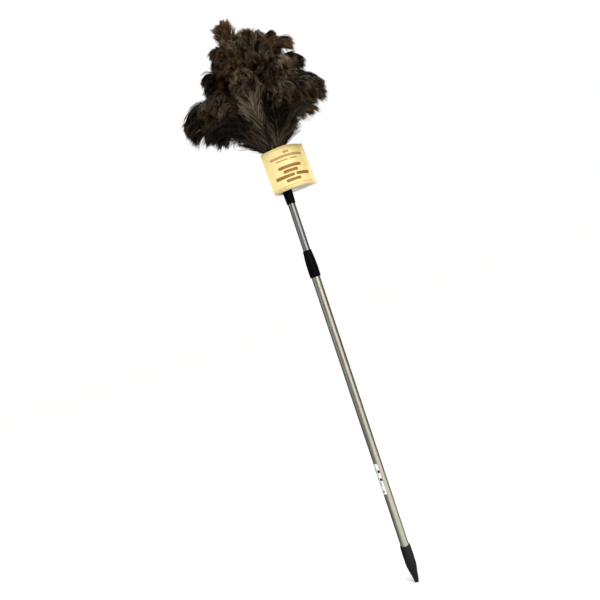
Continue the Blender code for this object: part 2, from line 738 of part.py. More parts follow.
def build_foot_plug(parent):
    """Plug pressed into the inner tube's lower end, with a groove for the guide ring."""
    flange_top = INNER_TUBE_FOOT_Z - GAP
    groove_top = flange_top - PLUG_FLANGE
    groove_foot = groove_top - GUIDE_HEIGHT - 2 * GAP
    foot = groove_foot - PLUG_FLANGE
    corners = (
        (0.0, flange_top + PLUG_STEM),
        (PLUG_STEM_RADIUS - TUBE_EDGE, flange_top + PLUG_STEM),
        (PLUG_STEM_RADIUS, flange_top + PLUG_STEM - TUBE_EDGE),
        (PLUG_STEM_RADIUS, flange_top),
        (INNER_TUBE_RADIUS, flange_top),
        (INNER_TUBE_RADIUS, groove_top),
        (PLUG_GROOVE_RADIUS, groove_top),
        (PLUG_GROOVE_RADIUS, groove_foot),
        (INNER_TUBE_RADIUS, groove_foot),
        (INNER_TUBE_RADIUS, foot + TUBE_EDGE),
        (INNER_TUBE_RADIUS - TUBE_EDGE, foot),
        (0.0, foot),
    )
    mesh = turned_mesh("foot_plug", corners, closed=False, steps=FINE_STEPS)
    return add_piece("foot_plug", mesh, parent, "white_acetal")


def build_inner_tube(parent):
    """Upper tube, which slides in the lower one and carries the head."""
    ends = INNER_TUBE_FOOT_Z, INNER_TUBE_TOP_Z
    corners = tube_corners(INNER_TUBE_RADIUS, INNER_TUBE_BORE, *ends, TUBE_EDGE)
    return add_piece("inner_tube", turned_mesh("inner_tube", corners), parent, "champagne_aluminium")


def build_screw_tip(parent):
    """Plug pressed into the inner tube's upper end, with the stud that the socket screws on."""
    stem_foot = INNER_TUBE_TOP_Z - TIP_STEM
    flange_foot = INNER_TUBE_TOP_Z + GAP
    corners = (
        (0.0, STUD_TOP_Z),
        (STUD_RADIUS - STUD_EDGE, STUD_TOP_Z),
        (STUD_RADIUS, STUD_TOP_Z - STUD_EDGE),
        (STUD_RADIUS, TIP_FLANGE_TOP_Z),
        (INNER_TUBE_RADIUS, TIP_FLANGE_TOP_Z),
        (INNER_TUBE_RADIUS, flange_foot),
        (PLUG_STEM_RADIUS, flange_foot),
        (PLUG_STEM_RADIUS, stem_foot + TUBE_EDGE),
        (PLUG_STEM_RADIUS - TUBE_EDGE, stem_foot),
        (0.0, stem_foot),
    )
    mesh = turned_mesh("screw_tip", corners, closed=False, steps=FINE_STEPS)
    return add_piece("screw_tip", mesh, parent, "black_polypropylene")


def build_socket(parent):
    """Moulded socket: screws on the pole, and holds the stick and the feet of the quills."""
    bore_top = TIP_FLANGE_TOP_Z + GAP
    ledge = STICK_FOOT_Z - GAP
    flange_foot = SOCKET_TOP_Z - SOCKET_FLANGE
    flare_share, belly_share = SOCKET_BELLY_SHARES
    belly_z = SOCKET_FOOT_Z + SOCKET_SHOWN * belly_share
    corners = (
        (NECK_WRAP_RADIUS, SOCKET_TOP_Z),
        (NECK_WRAP_RADIUS, flange_foot, SOCKET_EDGE),
        (SOCKET_RADIUS + SOCKET_WALL, flange_foot - SOCKET_FLANGE),
        (SOCKET_RADIUS, TAG_FOOT_Z),
        (SOCKET_FOOT_RADIUS + SOCKET_FLARE * flare_share, belly_z),
        (SOCKET_FOOT_RADIUS, SOCKET_FOOT_Z, SOCKET_EDGE),
        (SOCKET_BORE, SOCKET_FOOT_Z),
        (SOCKET_BORE, bore_top),
        (STUD_BORE, bore_top),
        (STUD_BORE, ledge),
        (STICK_BORE, ledge),
        (STICK_BORE, SOCKET_TOP_Z),
    )
    return add_piece("head_socket", turned_mesh("head_socket", corners), parent, "black_polypropylene")


def build_stick(parent):
    """Short wooden stick that the quills are bound round."""
    top = INNER_BINDING_TOP_Z + STICK_ABOVE
    corners = (
        (0.0, top),
        (STICK_RADIUS - STUD_EDGE, top),
        (STICK_RADIUS, top - STUD_EDGE),
        (STICK_RADIUS, STICK_FOOT_Z),
        (0.0, STICK_FOOT_Z),
    )
    mesh = turned_mesh("core_stick", corners, closed=False, steps=FINE_STEPS)
    return add_piece("core_stick", mesh, parent, "beech")


def build_bindings(parent):
    """Thread bindings, one round each ring of quills, and the tape wrapped over them all."""
    rings = (
        ("inner_binding", INNER_BINDING_RADIUS, INNER_BINDING_BORE, INNER_BINDING_TOP_Z),
        ("middle_binding", MIDDLE_BINDING_RADIUS, MIDDLE_BINDING_BORE, MIDDLE_BINDING_TOP_Z),
        ("outer_binding", OUTER_BINDING_RADIUS, OUTER_BINDING_BORE, OUTER_BINDING_TOP_Z),
    )
    for name, radius, bore, top in rings:
        corners = tube_corners(radius, bore, QUILL_FOOT_Z, top, TUBE_EDGE)
        add_piece(name, turned_mesh(name, corners, steps=FINE_STEPS), parent, "waxed_thread")
    waist_z = (QUILL_FOOT_Z + NECK_WRAP_TOP_Z) / 2
    corners = (
        (NECK_WRAP_RADIUS - TUBE_EDGE, NECK_WRAP_TOP_Z),
        (NECK_WRAP_RADIUS, NECK_WRAP_TOP_Z - TUBE_EDGE),
        (NECK_WRAP_RADIUS - NECK_WRAP_WAIST, waist_z),
        (NECK_WRAP_RADIUS, QUILL_FOOT_Z + TUBE_EDGE),
        (NECK_WRAP_RADIUS - TUBE_EDGE, QUILL_FOOT_Z),
        (NECK_WRAP_BORE, QUILL_FOOT_Z),
        (NECK_WRAP_BORE, NECK_WRAP_TOP_Z),
    )
    add_piece("neck_wrap", turned_mesh("neck_wrap", corners), parent, "black_cloth_tape")


def leaf_rise(x):
    """Share of the leaf's bow at x: half a wave from the fold to the seam."""
    seam_start = TAG_RIGHT - TAG_SEAM
    if x < seam_start:
        return math.sin(math.pi * (x + TAG_LEFT) / (seam_start + TAG_LEFT))
    return 0.0


def leaf_bends():
    """Where a leaf's facets meet, from the seam towards the fold, closer together near both."""
    seam_start = TAG_RIGHT - TAG_SEAM
    shares = [(1 - math.cos(math.pi * i / TAG_POINTS)) / 2 for i in range(TAG_POINTS)]
    return [seam_start - (TAG_LEFT + seam_start) * share for share in shares]


def leaf_bow():
    """The least bow that lets a leaf's facets pass the tipped neck, so that the leaf lies against it."""
    tilt = math.radians(TAG_TILT_DEG)
    middle = TAG_FOOT_Z + TAG_HEIGHT / 2
    reach = NECK_WRAP_RADIUS + GAP + TAG_THICKNESS / 2
    across = np.linspace(-reach, reach, TAG_FIT_PLACES)[1:-1]
    bends = [-TAG_LEFT] + sorted(leaf_bends())
    rises = [leaf_rise(x) for x in bends]
    needed = []
    for end_z in (QUILL_FOOT_Z, NECK_WRAP_TOP_Z):
        slip = math.sin(tilt) * (end_z - middle)
        needed.append(np.sqrt(reach**2 - across**2) / np.interp(across + slip, bends, rises))
    return float(np.max(needed))


def tag_place():
    """Matrix that tips the card in its own plane and turns it round the pole."""
    centre = Vector(((TAG_RIGHT - TAG_LEFT) / 2, 0.0, TAG_FOOT_Z + TAG_HEIGHT / 2))
    tip = Matrix.Rotation(math.radians(-TAG_TILT_DEG), 4, "Y")
    turn = Matrix.Rotation(math.radians(TAG_TURN_DEG), 4, "Z")
    return turn @ Matrix.Translation(centre) @ tip @ Matrix.Translation(-centre)


def tag_path():
    """Places along the folded card, seen from above: front leaf from the seam to the fold, then the back."""
    half_gap = (GAP + TAG_THICKNESS) / 2
    bow = leaf_bow()
    front = [(TAG_RIGHT, -half_gap)]
    front += [(x, -max(half_gap, bow * leaf_rise(x))) for x in leaf_bends()]
    back = [(x, -y) for x, y in reversed(front)]
    return front + [(-TAG_LEFT, 0.0)] + back


def build_tag(parent):
    """Card folded round the neck. The back leaf hangs a little lower towards its right end."""
    path = tag_path()
    mesh = bpy.data.meshes.new("tag_card")
    shape = bmesh.new()
    rows = []
    for index, (x, y) in enumerate(path):
        behind = index > len(path) // 2
        drop = TAG_BACK_DROP * (x + TAG_LEFT) / (TAG_RIGHT + TAG_LEFT) if behind else 0.0
        rows.append([shape.verts.new((x, y, z)) for z in (TAG_FOOT_Z - drop, TAG_TOP_Z - drop)])
    for before, after in zip(rows, rows[1:], strict=False):
        shape.faces.new((before[0], after[0], after[1], before[1]))
    shape.to_mesh(mesh)
    shape.free()
    mesh.transform(tag_place())
    tag = add_piece("tag_card", mesh, parent, "yellow_card", smooth_deg=60.0)
    card = tag.modifiers.new("card", "SOLIDIFY")
    card.thickness = TAG_THICKNESS
    card.offset = 0.0
    card.use_even_offset = True
    x = TAG_RIGHT - TAG_SEAM / 2
    middle = TAG_FOOT_Z + STAPLE_HEIGHT
    reach = STAPLE_STANDOFF + OVERRUN
    runs = [
        ((x, -reach, middle + side * STAPLE_CROWN / 2), (x, reach, middle + side * STAPLE_CROWN / 2))
        for side in (-1, 1)
    ]
    holes = rod_cutter("staple_hole_cutter", STAPLE_WIRE_RADIUS + GAP, *runs, steps=FINE_STEPS // 3)
    holes.data.transform(tag_place())
    return cut(tag, holes)


def build_staple(parent):
    """Wire staple through both leaves, its legs turned in behind the card."""
    x = TAG_RIGHT - TAG_SEAM / 2
    middle = TAG_FOOT_Z + STAPLE_HEIGHT
    half = STAPLE_CROWN / 2
    front, back = -STAPLE_STANDOFF - STAPLE_WIRE_RADIUS, STAPLE_STANDOFF + STAPLE_WIRE_RADIUS
    places = (
        (x, back, middle - half + STAPLE_LEG_TURN),
        (x, back, middle - half),
        (x, front, middle - half),
        (x, front, middle + half),
        (x, back, middle + half),
        (x, back, middle + half - STAPLE_LEG_TURN),
    )
    curve = bpy.data.curves.new("tag_staple", "CURVE")
    curve.dimensions = "3D"
    curve.bevel_depth = STAPLE_WIRE_RADIUS
    curve.bevel_resolution = 1
    curve.use_fill_caps = True
    spline = curve.splines.new("POLY")
    spline.points.add(len(places) - 1)
    for point, place in zip(spline.points, places, strict=True):
        point.co = (*place, 1.0)
    holder = bpy.data.objects.new("tag_staple_holder", curve)
    CUTTERS.objects.link(holder)
    mesh = apply_modifiers(holder, "tag_staple")
    shape = bmesh.new()
    shape.from_mesh(mesh)
    bmesh.ops.remove_doubles(shape, verts=shape.verts, dist=WIRE_MERGE_DISTANCE)
    shape.to_mesh(mesh)
    shape.free()
    mesh.transform(tag_place())
    mesh.materials.clear()
    return add_piece("tag_staple", mesh, parent, "zinc_wire")


def smooth_rise(value, start, full):
    """0 before start, 1 after full, and an even ease between them."""
    share = min(max((value - start) / (full - start), 0.0), 1.0)
    return share * share * (3 - 2 * share)


def plume_midline(layer, plume):
    """Distance from the axis, height, lean and length so far at each station of a plume's shaft.

    The shaft is a cubic curve: it leaves the neck at its lean and ends at its droop.
    """
    root = np.array((layer.ring, PLUME_START_Z))
    tip = np.array((layer.reach * plume.reach_share, TAG_TOP_Z + layer.rise * plume.rise_share))
    span = np.linalg.norm(tip - root)
    lean, droop = math.radians(plume.lean), math.radians(plume.droop)
    rising = root + np.array((math.sin(lean), math.cos(lean))) * span * ROOT_PULL_SHARE
    falling = tip - np.array((math.sin(droop), math.cos(droop))) * span * plume.fall_share
    share = np.linspace(0.0, 1.0, PLUME_STATIONS)[:, None]
    rest = 1 - share
    places = rest**3 * root + 3 * rest**2 * share * rising + 3 * rest * share**2 * falling + share**3 * tip
    along = rest**2 * (rising - root) + 2 * rest * share * (falling - rising) + share**2 * (tip - falling)
    leans = np.arctan2(along[:, 0], along[:, 1])
    steps = np.linalg.norm(np.diff(places, axis=0), axis=1)
    runs = np.concatenate(([0.0], np.cumsum(steps)))
    return places[:, 0], places[:, 1], leans, runs


def plume_half_width(layer, share, index):
    """Free half width: opens from the quill, holds, and rounds off at the tip, with a ragged edge."""
    open_share = min(share / layer.wide_share, 1.0)
    past = max(share - TIP_START_SHARE, 0.0) / (1 - TIP_START_SHARE)
    tip = layer.tip_width_share + (1 - layer.tip_width_share) * math.sqrt(max(1 - past * past, 0.0))
    ragged = SCALLOP_SHARES[index % len(SCALLOP_SHARES)]
    return QUILL_RADIUS + (layer.half_width - QUILL_RADIUS) * open_share * tip * ragged


def within(free, limit):
    """The smaller of two widths, with a soft passage between them."""
    return (free**-4 + limit**-4) ** -0.25


def build_plume(layer, plume, near_sides, far_sides, name, parent, material):
    """One plume: a round quill in the binding that opens into an arched blade.

    The sides are the angles round the pole, to the plume's right and left, that it may
    fill: near_sides between the quills of its ring, far_sides once it is past them.
    """
    azimuth = math.radians(plume.azimuth)
    outward = Vector((math.cos(azimuth), math.sin(azimuth), 0.0))
    across = Vector((-math.sin(azimuth), math.cos(azimuth), 0.0))
    up = Vector((0.0, 0.0, 1.0))
    points = len(SECTION_SHARES)
    turns = [2 * math.pi * point / points for point in range(points)]
    round_section = [across * math.sin(turn) + outward * math.cos(turn) for turn in turns]
    rings = []
    for z in (QUILL_FOOT_Z, PLUME_START_Z):
        centre = outward * layer.ring + up * z
        rings.append([centre + arm * QUILL_RADIUS for arm in round_section])
    distances, heights, leans, runs = plume_midline(layer, plume)
    for index in range(1, PLUME_STATIONS):
        share, run, lean = runs[index] / runs[-1], runs[index], leans[index]
        thick = QUILL_RADIUS + (layer.thickness - QUILL_RADIUS) * smooth_rise(run, 0.0, layer.swell)
        free = plume_half_width(layer, share, index)
        hang = layer.hang * smooth_rise(share, layer.hang_start_share, layer.hang_full_share)
        hang *= 1 - (1 - layer.hang_tip_share) * smooth_rise(share, TIP_START_SHARE, 1.0)
        spread = smooth_rise(run, QUILL_APART, PLUME_FREE)
        ring = []
        for wide_share, thick_share in SECTION_SHARES:
            side = 0 if wide_share < 0 else 1
            radius = distances[index] + thick * thick_share * math.cos(lean)
            height = heights[index] - thick * thick_share * math.sin(lean)
            height -= min(hang, max(height - TAG_TOP_Z - PLUME_OVER_TAG, 0.0)) * wide_share**2
            most = near_sides[side] + (far_sides[side] - near_sides[side]) * spread
            turn = wide_share * within(free, most * radius - GAP) / radius
            place = outward * math.cos(turn) + across * math.sin(turn)
            ring.append(place * radius + up * height)
        rings.append(ring)
    return add_piece(name, loft(name, rings), parent, material, smooth_deg=70.0)


def loft(name, rings):
    """A closed mesh of flat triangles through rings of equally many points, closed at each end."""
    mesh = bpy.data.meshes.new(name)
    shape = bmesh.new()
    rows = [[shape.verts.new(place) for place in ring] for ring in rings]
    count = len(rows[0])
    for before, after in zip(rows, rows[1:], strict=False):
        for i in range(count):
            j = (i + 1) % count
            shape.faces.new((before[i], before[j], after[j], after[i]))
    shape.faces.new(list(reversed(rows[0])))
    shape.faces.new(rows[-1])
    bmesh.ops.triangulate(shape, faces=shape.faces, quad_method="SHORT_EDGE")
    shape.to_mesh(mesh)
    shape.free()
    return mesh


def half_turns(plume, others):
    """Half the angles to the next plume on the right and on the left, in radians."""
    turns = [(other.azimuth - plume.azimuth) % 360 for other in others if other is not plume]
    sides = (360 - max(turns)) / 2, min(turns) / 2
    return [math.radians(min(side, WIDEST_SIDE_DEG)) for side in sides]


def build_layer(layer, plumes, ring_mates, parent, material):
    """All plumes of a layer. ring_mates are all plumes whose quills share its ring."""
    for index, plume in enumerate(plumes):
        near_sides = half_turns(plume, ring_mates)
        far_sides = half_turns(plume, plumes)
        name = f"{layer.name}_{index + 1:02d}"
        build_plume(layer, plume, near_sides, far_sides, name, parent, material)


def build_duster():
    """Builds every piece under the empty of the body that carries it."""
    pole = carrier("pole", 0.0)
    build_end_cap(pole)
    build_outer_tube(pole)
    build_label(pole)
    build_collet(pole)
    clamp = carrier("clamp", CLAMP_FOOT_Z)
    build_clamp_ring(clamp)
    collar = carrier("collar", COLLAR_FOOT_Z)
    build_collar(collar)
    runner = carrier("runner", INNER_TUBE_FOOT_Z)
    build_guide_ring(runner)
    head = carrier("head", SOCKET_FOOT_Z)
    build_foot_plug(head)
    build_inner_tube(head)
    build_screw_tip(head)
    build_socket(head)
    build_stick(head)
    build_bindings(head)
    build_tag(head)
    build_staple(head)
    inner_ring = CORE_PLUMES + INNER_PLUMES
    build_layer(CORE_LAYER, CORE_PLUMES, inner_ring, head, "brown_ostrich")
    build_layer(INNER_LAYER, INNER_PLUMES, inner_ring, head, "dark_ostrich")
    build_layer(MIDDLE_LAYER, MIDDLE_PLUMES, MIDDLE_PLUMES, head, "brown_ostrich")
    build_layer(OUTER_LAYER, OUTER_PLUMES, OUTER_PLUMES, head, "dark_ostrich")


clear_scene()
PIECES = new_collection("ostrich_feather_duster")
CUTTERS = new_collection("cutters")
build_duster()
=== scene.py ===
"""Looks of an ostrich feather duster on a telescopic pole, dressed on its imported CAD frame.

Everything is in metres in the frame of the CAD: +Z runs up the pole and the front is at -Y.
"""

import logging
import math
from dataclasses import dataclass, field, replace
from enum import Enum
from itertools import count

import bpy
import numpy as np
from mathutils import Matrix, Vector


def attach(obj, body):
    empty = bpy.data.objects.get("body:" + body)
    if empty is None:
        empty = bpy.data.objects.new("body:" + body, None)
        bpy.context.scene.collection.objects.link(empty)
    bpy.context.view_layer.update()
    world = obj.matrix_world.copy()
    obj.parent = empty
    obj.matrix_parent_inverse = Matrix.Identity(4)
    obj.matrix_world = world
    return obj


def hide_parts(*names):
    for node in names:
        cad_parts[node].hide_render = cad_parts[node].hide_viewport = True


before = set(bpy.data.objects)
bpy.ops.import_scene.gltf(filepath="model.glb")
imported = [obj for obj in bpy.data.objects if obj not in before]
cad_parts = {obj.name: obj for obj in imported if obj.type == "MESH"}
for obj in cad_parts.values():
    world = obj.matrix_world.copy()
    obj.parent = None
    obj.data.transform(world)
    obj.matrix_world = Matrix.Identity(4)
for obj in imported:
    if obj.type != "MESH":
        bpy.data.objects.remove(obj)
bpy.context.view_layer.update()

LOG = logging.getLogger("duster")
Array = np.ndarray

# The gap between pieces, and their heights and radii, as the CAD has them
CLEARANCE = 0.0003
TAG_FOOT_Z = 0.795
TAG_TOP_Z = 0.893
QUILL_FOOT_Z = 0.8213
NECK_WRAP_TOP_Z = 0.876
PLUME_START_Z = 0.888
CAP_RIM_Z = -0.062
CAP_TIP_Z = -0.150
OUTER_TUBE_RADIUS = 0.010
NECK_WRAP_RADIUS = 0.0211
QUILL_RADIUS = 0.0014
INNER_RING = 0.0087
MIDDLE_RING = 0.0129
OUTER_RING = 0.0171


def linear(code: str) -> tuple[float, float, float, float]:
    """Turns an sRGB hex colour into linear light.

    Args:
        code: Six hex digits after a hash sign.

    Returns:
        Red, green, blue and an alpha of one: below 0.04045 a channel is divided by 12.92, and
        above it is ((c + 0.055) / 1.055) to the power 2.4.
    """
    channels = [int(code[i : i + 2], 16) / 255 for i in (1, 3, 5)]
    light = [c / 12.92 if c <= 0.04045 else ((c + 0.055) / 1.055) ** 2.4 for c in channels]
    return (light[0], light[1], light[2], 1.0)


def add_node(
    tree: bpy.types.NodeTree, kind: str, inputs: dict[str | int, object], **settings: object
) -> bpy.types.Node:
    """Adds one node with its settings, its values and its links.

    Args:
        tree: The node tree that gets the node.
        kind: The node's type name.
        inputs: A value or an output socket for each input, by its name or number.
        **settings: The node's own options.

    Returns:
        The new node.
    """
    node = tree.nodes.new(kind)
    for name, value in settings.items():
        setattr(node, name, value)
    for name, value in inputs.items():
        if isinstance(value, bpy.types.NodeSocket):
            tree.links.new(value, node.inputs[name])
        else:
            node.inputs[name].default_value = value
    return node


def smooth_rise(value: Array, start: float, full: float) -> Array:
    """Gives 0 before start, 1 after full and 3 s^2 - 2 s^3 between them, s being the share."""
    share = np.clip((value - start) / (full - start), 0.0, 1.0)
    return share * share * (3 - 2 * share)


def grid_mesh(name: str, points: Array, uv: Array, wrap: bool = False) -> bpy.types.Mesh:
    """Makes one mesh of many grids of quads, all of the same size.

    A quad joins row r and r + 1 and column c and c + 1 of its grid.

    Args:
        name: The mesh's name.
        points: Places by grid, row, column and axis.
        uv: Surface coordinates by grid, row, column and axis.
        wrap: Whether the last column joins the first.

    Returns:
        The mesh, shaded smooth, with a UV map named "surface".
    """
    grids, rows, columns, _ = points.shape
    wide = columns if wrap else columns - 1
    grid = np.arange(grids)[:, None, None] * rows * columns
    row = np.arange(rows - 1)[None, :, None] * columns
    column = np.arange(wide)[None, None, :]
    after = (column + 1) % columns
    corners = np.stack(
        [
            grid + row + column,
            grid + row + after,
            grid + row + columns + after,
            grid + row + columns + column,
        ],
        axis=-1,
    ).reshape(-1, 4)
    mesh = bpy.data.meshes.new(name)
    mesh.vertices.add(grids * rows * columns)
    mesh.vertices.foreach_set("co", points.astype(np.float32).ravel())
    mesh.loops.add(corners.size)
    mesh.loops.foreach_set("vertex_index", corners.astype(np.int32).ravel())
    mesh.polygons.add(len(corners))
    mesh.polygons.foreach_set("loop_start", np.arange(0, corners.size, 4, dtype=np.int32))
    mesh.polygons.foreach_set("use_smooth", np.ones(len(corners), dtype=bool))
    mesh.update(calc_edges=True)
    layer = mesh.uv_layers.new(name="surface")
    layer.data.foreach_set("uv", uv.reshape(-1, 2)[corners.ravel()].astype(np.float32).ravel())
    mesh.validate()
    return mesh


def add_piece(
    name: str, mesh: bpy.types.Mesh, body: str, slot: str, *nodes: str
) -> bpy.types.Object:
    """Links a mesh as a piece that rides on a body and stands for CAD nodes.

    Args:
        name: The piece's name.
        mesh: Its mesh, in the row's frame.
        body: The CAD body that carries it.
        slot: The record's material slot of its finish; not used.
        *nodes: The CAD nodes that it replaces.

    Returns:
        The piece.
    """
    piece = bpy.data.objects.new(name, mesh)
    bpy.context.scene.collection.objects.link(piece)
    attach(piece, body)
    if nodes:
        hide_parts(*nodes)
    LOG.info("%s: %d faces", name, len(mesh.polygons))
    return piece


def dress(node: str, material: bpy.types.Material) -> None:
    """Gives a CAD node a better material in its object's slot.

    Args:
        node: The CAD node.
        material: Its new material.
    """
    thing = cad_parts[node]
    thing.material_slots[0].material = material
    LOG.info("%s: %s", node, material.name)


@dataclass(frozen=True)
class Finish:
    """A Principled material with its constants on the shader's own sockets."""

    name: str
    colour: str
    roughness: float
    metallic: float = 0.0
    ior: float = 1.5

    def start(self) -> tuple[bpy.types.Material, bpy.types.NodeTree, bpy.types.Node]:
        """Makes the material.

        Returns:
            The material, its tree and its shader.
        """
        material = bpy.data.materials.new(self.name)
        material.use_nodes = True
        tree = material.node_tree
        shader = tree.nodes["Principled BSDF"]
        shader.inputs["Base Color"].default_value = linear(self.colour)
        shader.inputs["Roughness"].default_value = self.roughness
        shader.inputs["Metallic"].default_value = self.metallic
        if self.metallic == 0.0:
            shader.inputs["IOR"].default_value = self.ior
        return material, tree, shader


@dataclass(frozen=True)
class MouldedPlastic(Finish):
    """Injection-moulded plastic: a fine spark-eroded grain breaks up its highlights.

    The real grain is about 0.1 mm. It is drawn six times as coarse, so that it shows.
    """

    grain: float = 0.0006
    depth: float = 0.00003
    patch: float = 0.012  # size of the patches that hands have worn
    worn_colour: str = "#111111"
    shine: float = 0.25  # specular level, low for a grained surface

    def make(self) -> bpy.types.Material:
        """Makes the material: one noise varies the gloss and the colour, and one bumps the grain.

        Returns:
            The material.
        """
        material, tree, shader = self.start()
        shader.inputs["Specular IOR Level"].default_value = self.shine
        place = add_node(tree, "ShaderNodeTexCoord", {}).outputs["Object"]
        grain = add_node(
            tree, "ShaderNodeTexNoise", {"Vector": place, "Scale": 1 / self.grain, "Detail": 2.0}
        )
        patches = add_node(
            tree, "ShaderNodeTexNoise", {"Vector": place, "Scale": 1 / self.patch, "Detail": 4.0}
        )
        tone = add_node(
            tree,
            "ShaderNodeMapRange",
            {"Value": patches.outputs["Fac"], "From Min": 0.45, "From Max": 0.75, "To Max": 0.6},
        )
        colour = add_node(
            tree,
            "ShaderNodeMix",
            {"Factor": tone.outputs[0], 6: linear(self.colour), 7: linear(self.worn_colour)},
            data_type="RGBA",
        )
        gloss = add_node(
            tree,
            "ShaderNodeMapRange",
            {
                "Value": patches.outputs["Fac"],
                "From Min": 0.3,
                "From Max": 0.7,
                "To Min": self.roughness - 0.05,
                "To Max": self.roughness + 0.08,
            },
        )
        bump = add_node(
            tree,
            "ShaderNodeBump",
            {"Height": grain.outputs["Fac"], "Distance": self.depth, "Strength": 0.6},
        )
        tree.links.new(colour.outputs[2], shader.inputs["Base Color"])
        tree.links.new(gloss.outputs[0], shader.inputs["Roughness"])
        tree.links.new(bump.outputs[0], shader.inputs["Normal"])
        return material


@dataclass(frozen=True)
class DrawnAluminium(Finish):
    """Drawn and anodised tube: fine lines along its length stretch the highlight round it.

    Real die lines are about 0.05 mm wide. They are drawn eight times as wide, so that they show.
    """

    line_width: float = 0.0004
    line_length: float = 0.12
    line_depth: float = 0.00002
    patch: float = 0.03  # size of the patches that hands have dulled
    edge: str = "#2E3031"  # tint of the tube's reflections at a grazing angle

    def make(self) -> bpy.types.Material:
        """Makes the material: a noise stretched along Z is the die lines, a coarse one the patches.

        Returns:
            The material.
        """
        material, tree, shader = self.start()
        shader.inputs["Specular Tint"].default_value = linear(self.edge)
        place = add_node(tree, "ShaderNodeTexCoord", {}).outputs["Object"]
        drawn = add_node(
            tree,
            "ShaderNodeMapping",
            {
                "Vector": place,
                "Scale": (1 / self.line_width, 1 / self.line_width, 1 / self.line_length),
            },
        )
        lines = add_node(
            tree, "ShaderNodeTexNoise", {"Vector": drawn.outputs[0], "Scale": 1.0, "Detail": 3.0}
        )
        dulling = add_node(
            tree, "ShaderNodeTexNoise", {"Vector": place, "Scale": 1 / self.patch, "Detail": 4.0}
        )
        gloss = add_node(
            tree,
            "ShaderNodeMapRange",
            {
                "Value": dulling.outputs["Fac"],
                "From Min": 0.35,
                "From Max": 0.7,
                "To Min": self.roughness - 0.04,
                "To Max": self.roughness + 0.08,
            },
        )
        tint = add_node(
            tree,
            "ShaderNodeMapRange",
            {
                "Value": lines.outputs["Fac"],
                "From Min": 0.3,
                "From Max": 0.7,
                "To Min": 0.88,
                "To Max": 1.06,
            },
        )
        colour = add_node(
            tree,
            "ShaderNodeVectorMath",
            {0: linear(self.colour)[:3], "Scale": tint.outputs[0]},
            operation="SCALE",
        )
        bump = add_node(
            tree,
            "ShaderNodeBump",
            {"Height": lines.outputs["Fac"], "Distance": self.line_depth, "Strength": 0.35},
        )
        tree.links.new(colour.outputs[0], shader.inputs["Base Color"])
        tree.links.new(gloss.outputs[0], shader.inputs["Roughness"])
        tree.links.new(bump.outputs[0], shader.inputs["Normal"])
        return material


@dataclass(frozen=True)
class Plume(Finish):
    """Ostrich barbs: matt keratin with a soft sheen, paler and warmer towards the barbs' ends."""

    light: str = "#5C5044"
    ends: str = "#7A6142"
    shine: float = 0.14
    sheen: float = 0.06
    sheen_roughness: float = 0.45
    sheen_tint: str = "#C9B798"
    ends_from: float = 0.78  # share of a barb where its end starts to warm
    warmth: float = 0.7  # how far it takes on the end colour

    def make(self) -> bpy.types.Material:
        """Makes the material from the surface map: U runs along a barb, and V is its tone.

        Returns:
            The material.
        """
        material, tree, shader = self.start()
        shader.inputs["Specular IOR Level"].default_value = self.shine
        shader.inputs["Sheen Weight"].default_value = self.sheen
        shader.inputs["Sheen Roughness"].default_value = self.sheen_roughness
        shader.inputs["Sheen Tint"].default_value = linear(self.sheen_tint)
        surface = add_node(tree, "ShaderNodeUVMap", {}, uv_map="surface")
        split = add_node(tree, "ShaderNodeSeparateXYZ", {"Vector": surface.outputs[0]})
        tone = add_node(
            tree,
            "ShaderNodeMapRange",
            {"Value": split.outputs["Y"], "From Min": 0.3, "From Max": 1.0},
            interpolation_type="SMOOTHSTEP",
        )
        body = add_node(
            tree,
            "ShaderNodeMix",
            {"Factor": tone.outputs[0], 6: linear(self.colour), 7: linear(self.light)},
            data_type="RGBA",
        )
        warm = add_node(
            tree,
            "ShaderNodeMapRange",
            {
                "Value": split.outputs["X"],
                "From Min": self.ends_from,
                "From Max": 1.0,
                "To Max": self.warmth,
            },
            interpolation_type="SMOOTHSTEP",
        )
        colour = add_node(
            tree,
            "ShaderNodeMix",
            {"Factor": warm.outputs[0], 6: body.outputs[2], 7: linear(self.ends)},
            data_type="RGBA",
        )
        tree.links.new(colour.outputs[2], shader.inputs["Base Color"])
        return material


@dataclass(frozen=True)
class Woven(Finish):
    """Cloth or thread: a wave gives the turns of thread, a noise the fuzz that dulls them."""

    thread: float = 0.0005
    depth: float = 0.0001
    sheen: float = 0.3
    # colour of the painted highlight on the threads' raised tops; the grooves keep the base colour
    # as painted shade
    pale: str = "#3A3836"

    def make(self) -> bpy.types.Material:
        """Makes the material: bands along Z bump the threads and paint a highlight on their tops.

        A wave texture turns through 20 radians in a unit, so its bands are 2 pi threads apart:
        coarser than the real turns, so that they show.

        Returns:
            The material.
        """
        material, tree, shader = self.start()
        shader.inputs["Sheen Weight"].default_value = self.sheen
        place = add_node(tree, "ShaderNodeTexCoord", {}).outputs["Object"]
        turns = add_node(
            tree,
            "ShaderNodeTexWave",
            {
                "Vector": place,
                "Scale": 1 / self.thread / 20,
                "Distortion": 0.6,
                "Detail Scale": 3.0,
            },
            bands_direction="Z",
        )
        fuzz = add_node(
            tree, "ShaderNodeTexNoise", {"Vector": place, "Scale": 1 / self.thread, "Detail": 3.0}
        )
        height = add_node(
            tree,
            "ShaderNodeMath",
            {0: turns.outputs["Fac"], 1: fuzz.outputs["Fac"]},
            operation="ADD",
        )
        # Painted highlight on the turns' tops and painted shade in their grooves, by the same bands
        # as the bump
        colour = add_node(
            tree,
            "ShaderNodeMix",
            {"Factor": turns.outputs["Fac"], 6: linear(self.colour), 7: linear(self.pale)},
            data_type="RGBA",
        )
        bump = add_node(
            tree,
            "ShaderNodeBump",
            {"Height": height.outputs[0], "Distance": self.depth, "Strength": 0.8},
        )
        tree.links.new(colour.outputs[2], shader.inputs["Base Color"])
        tree.links.new(bump.outputs[0], shader.inputs["Normal"])
        return material


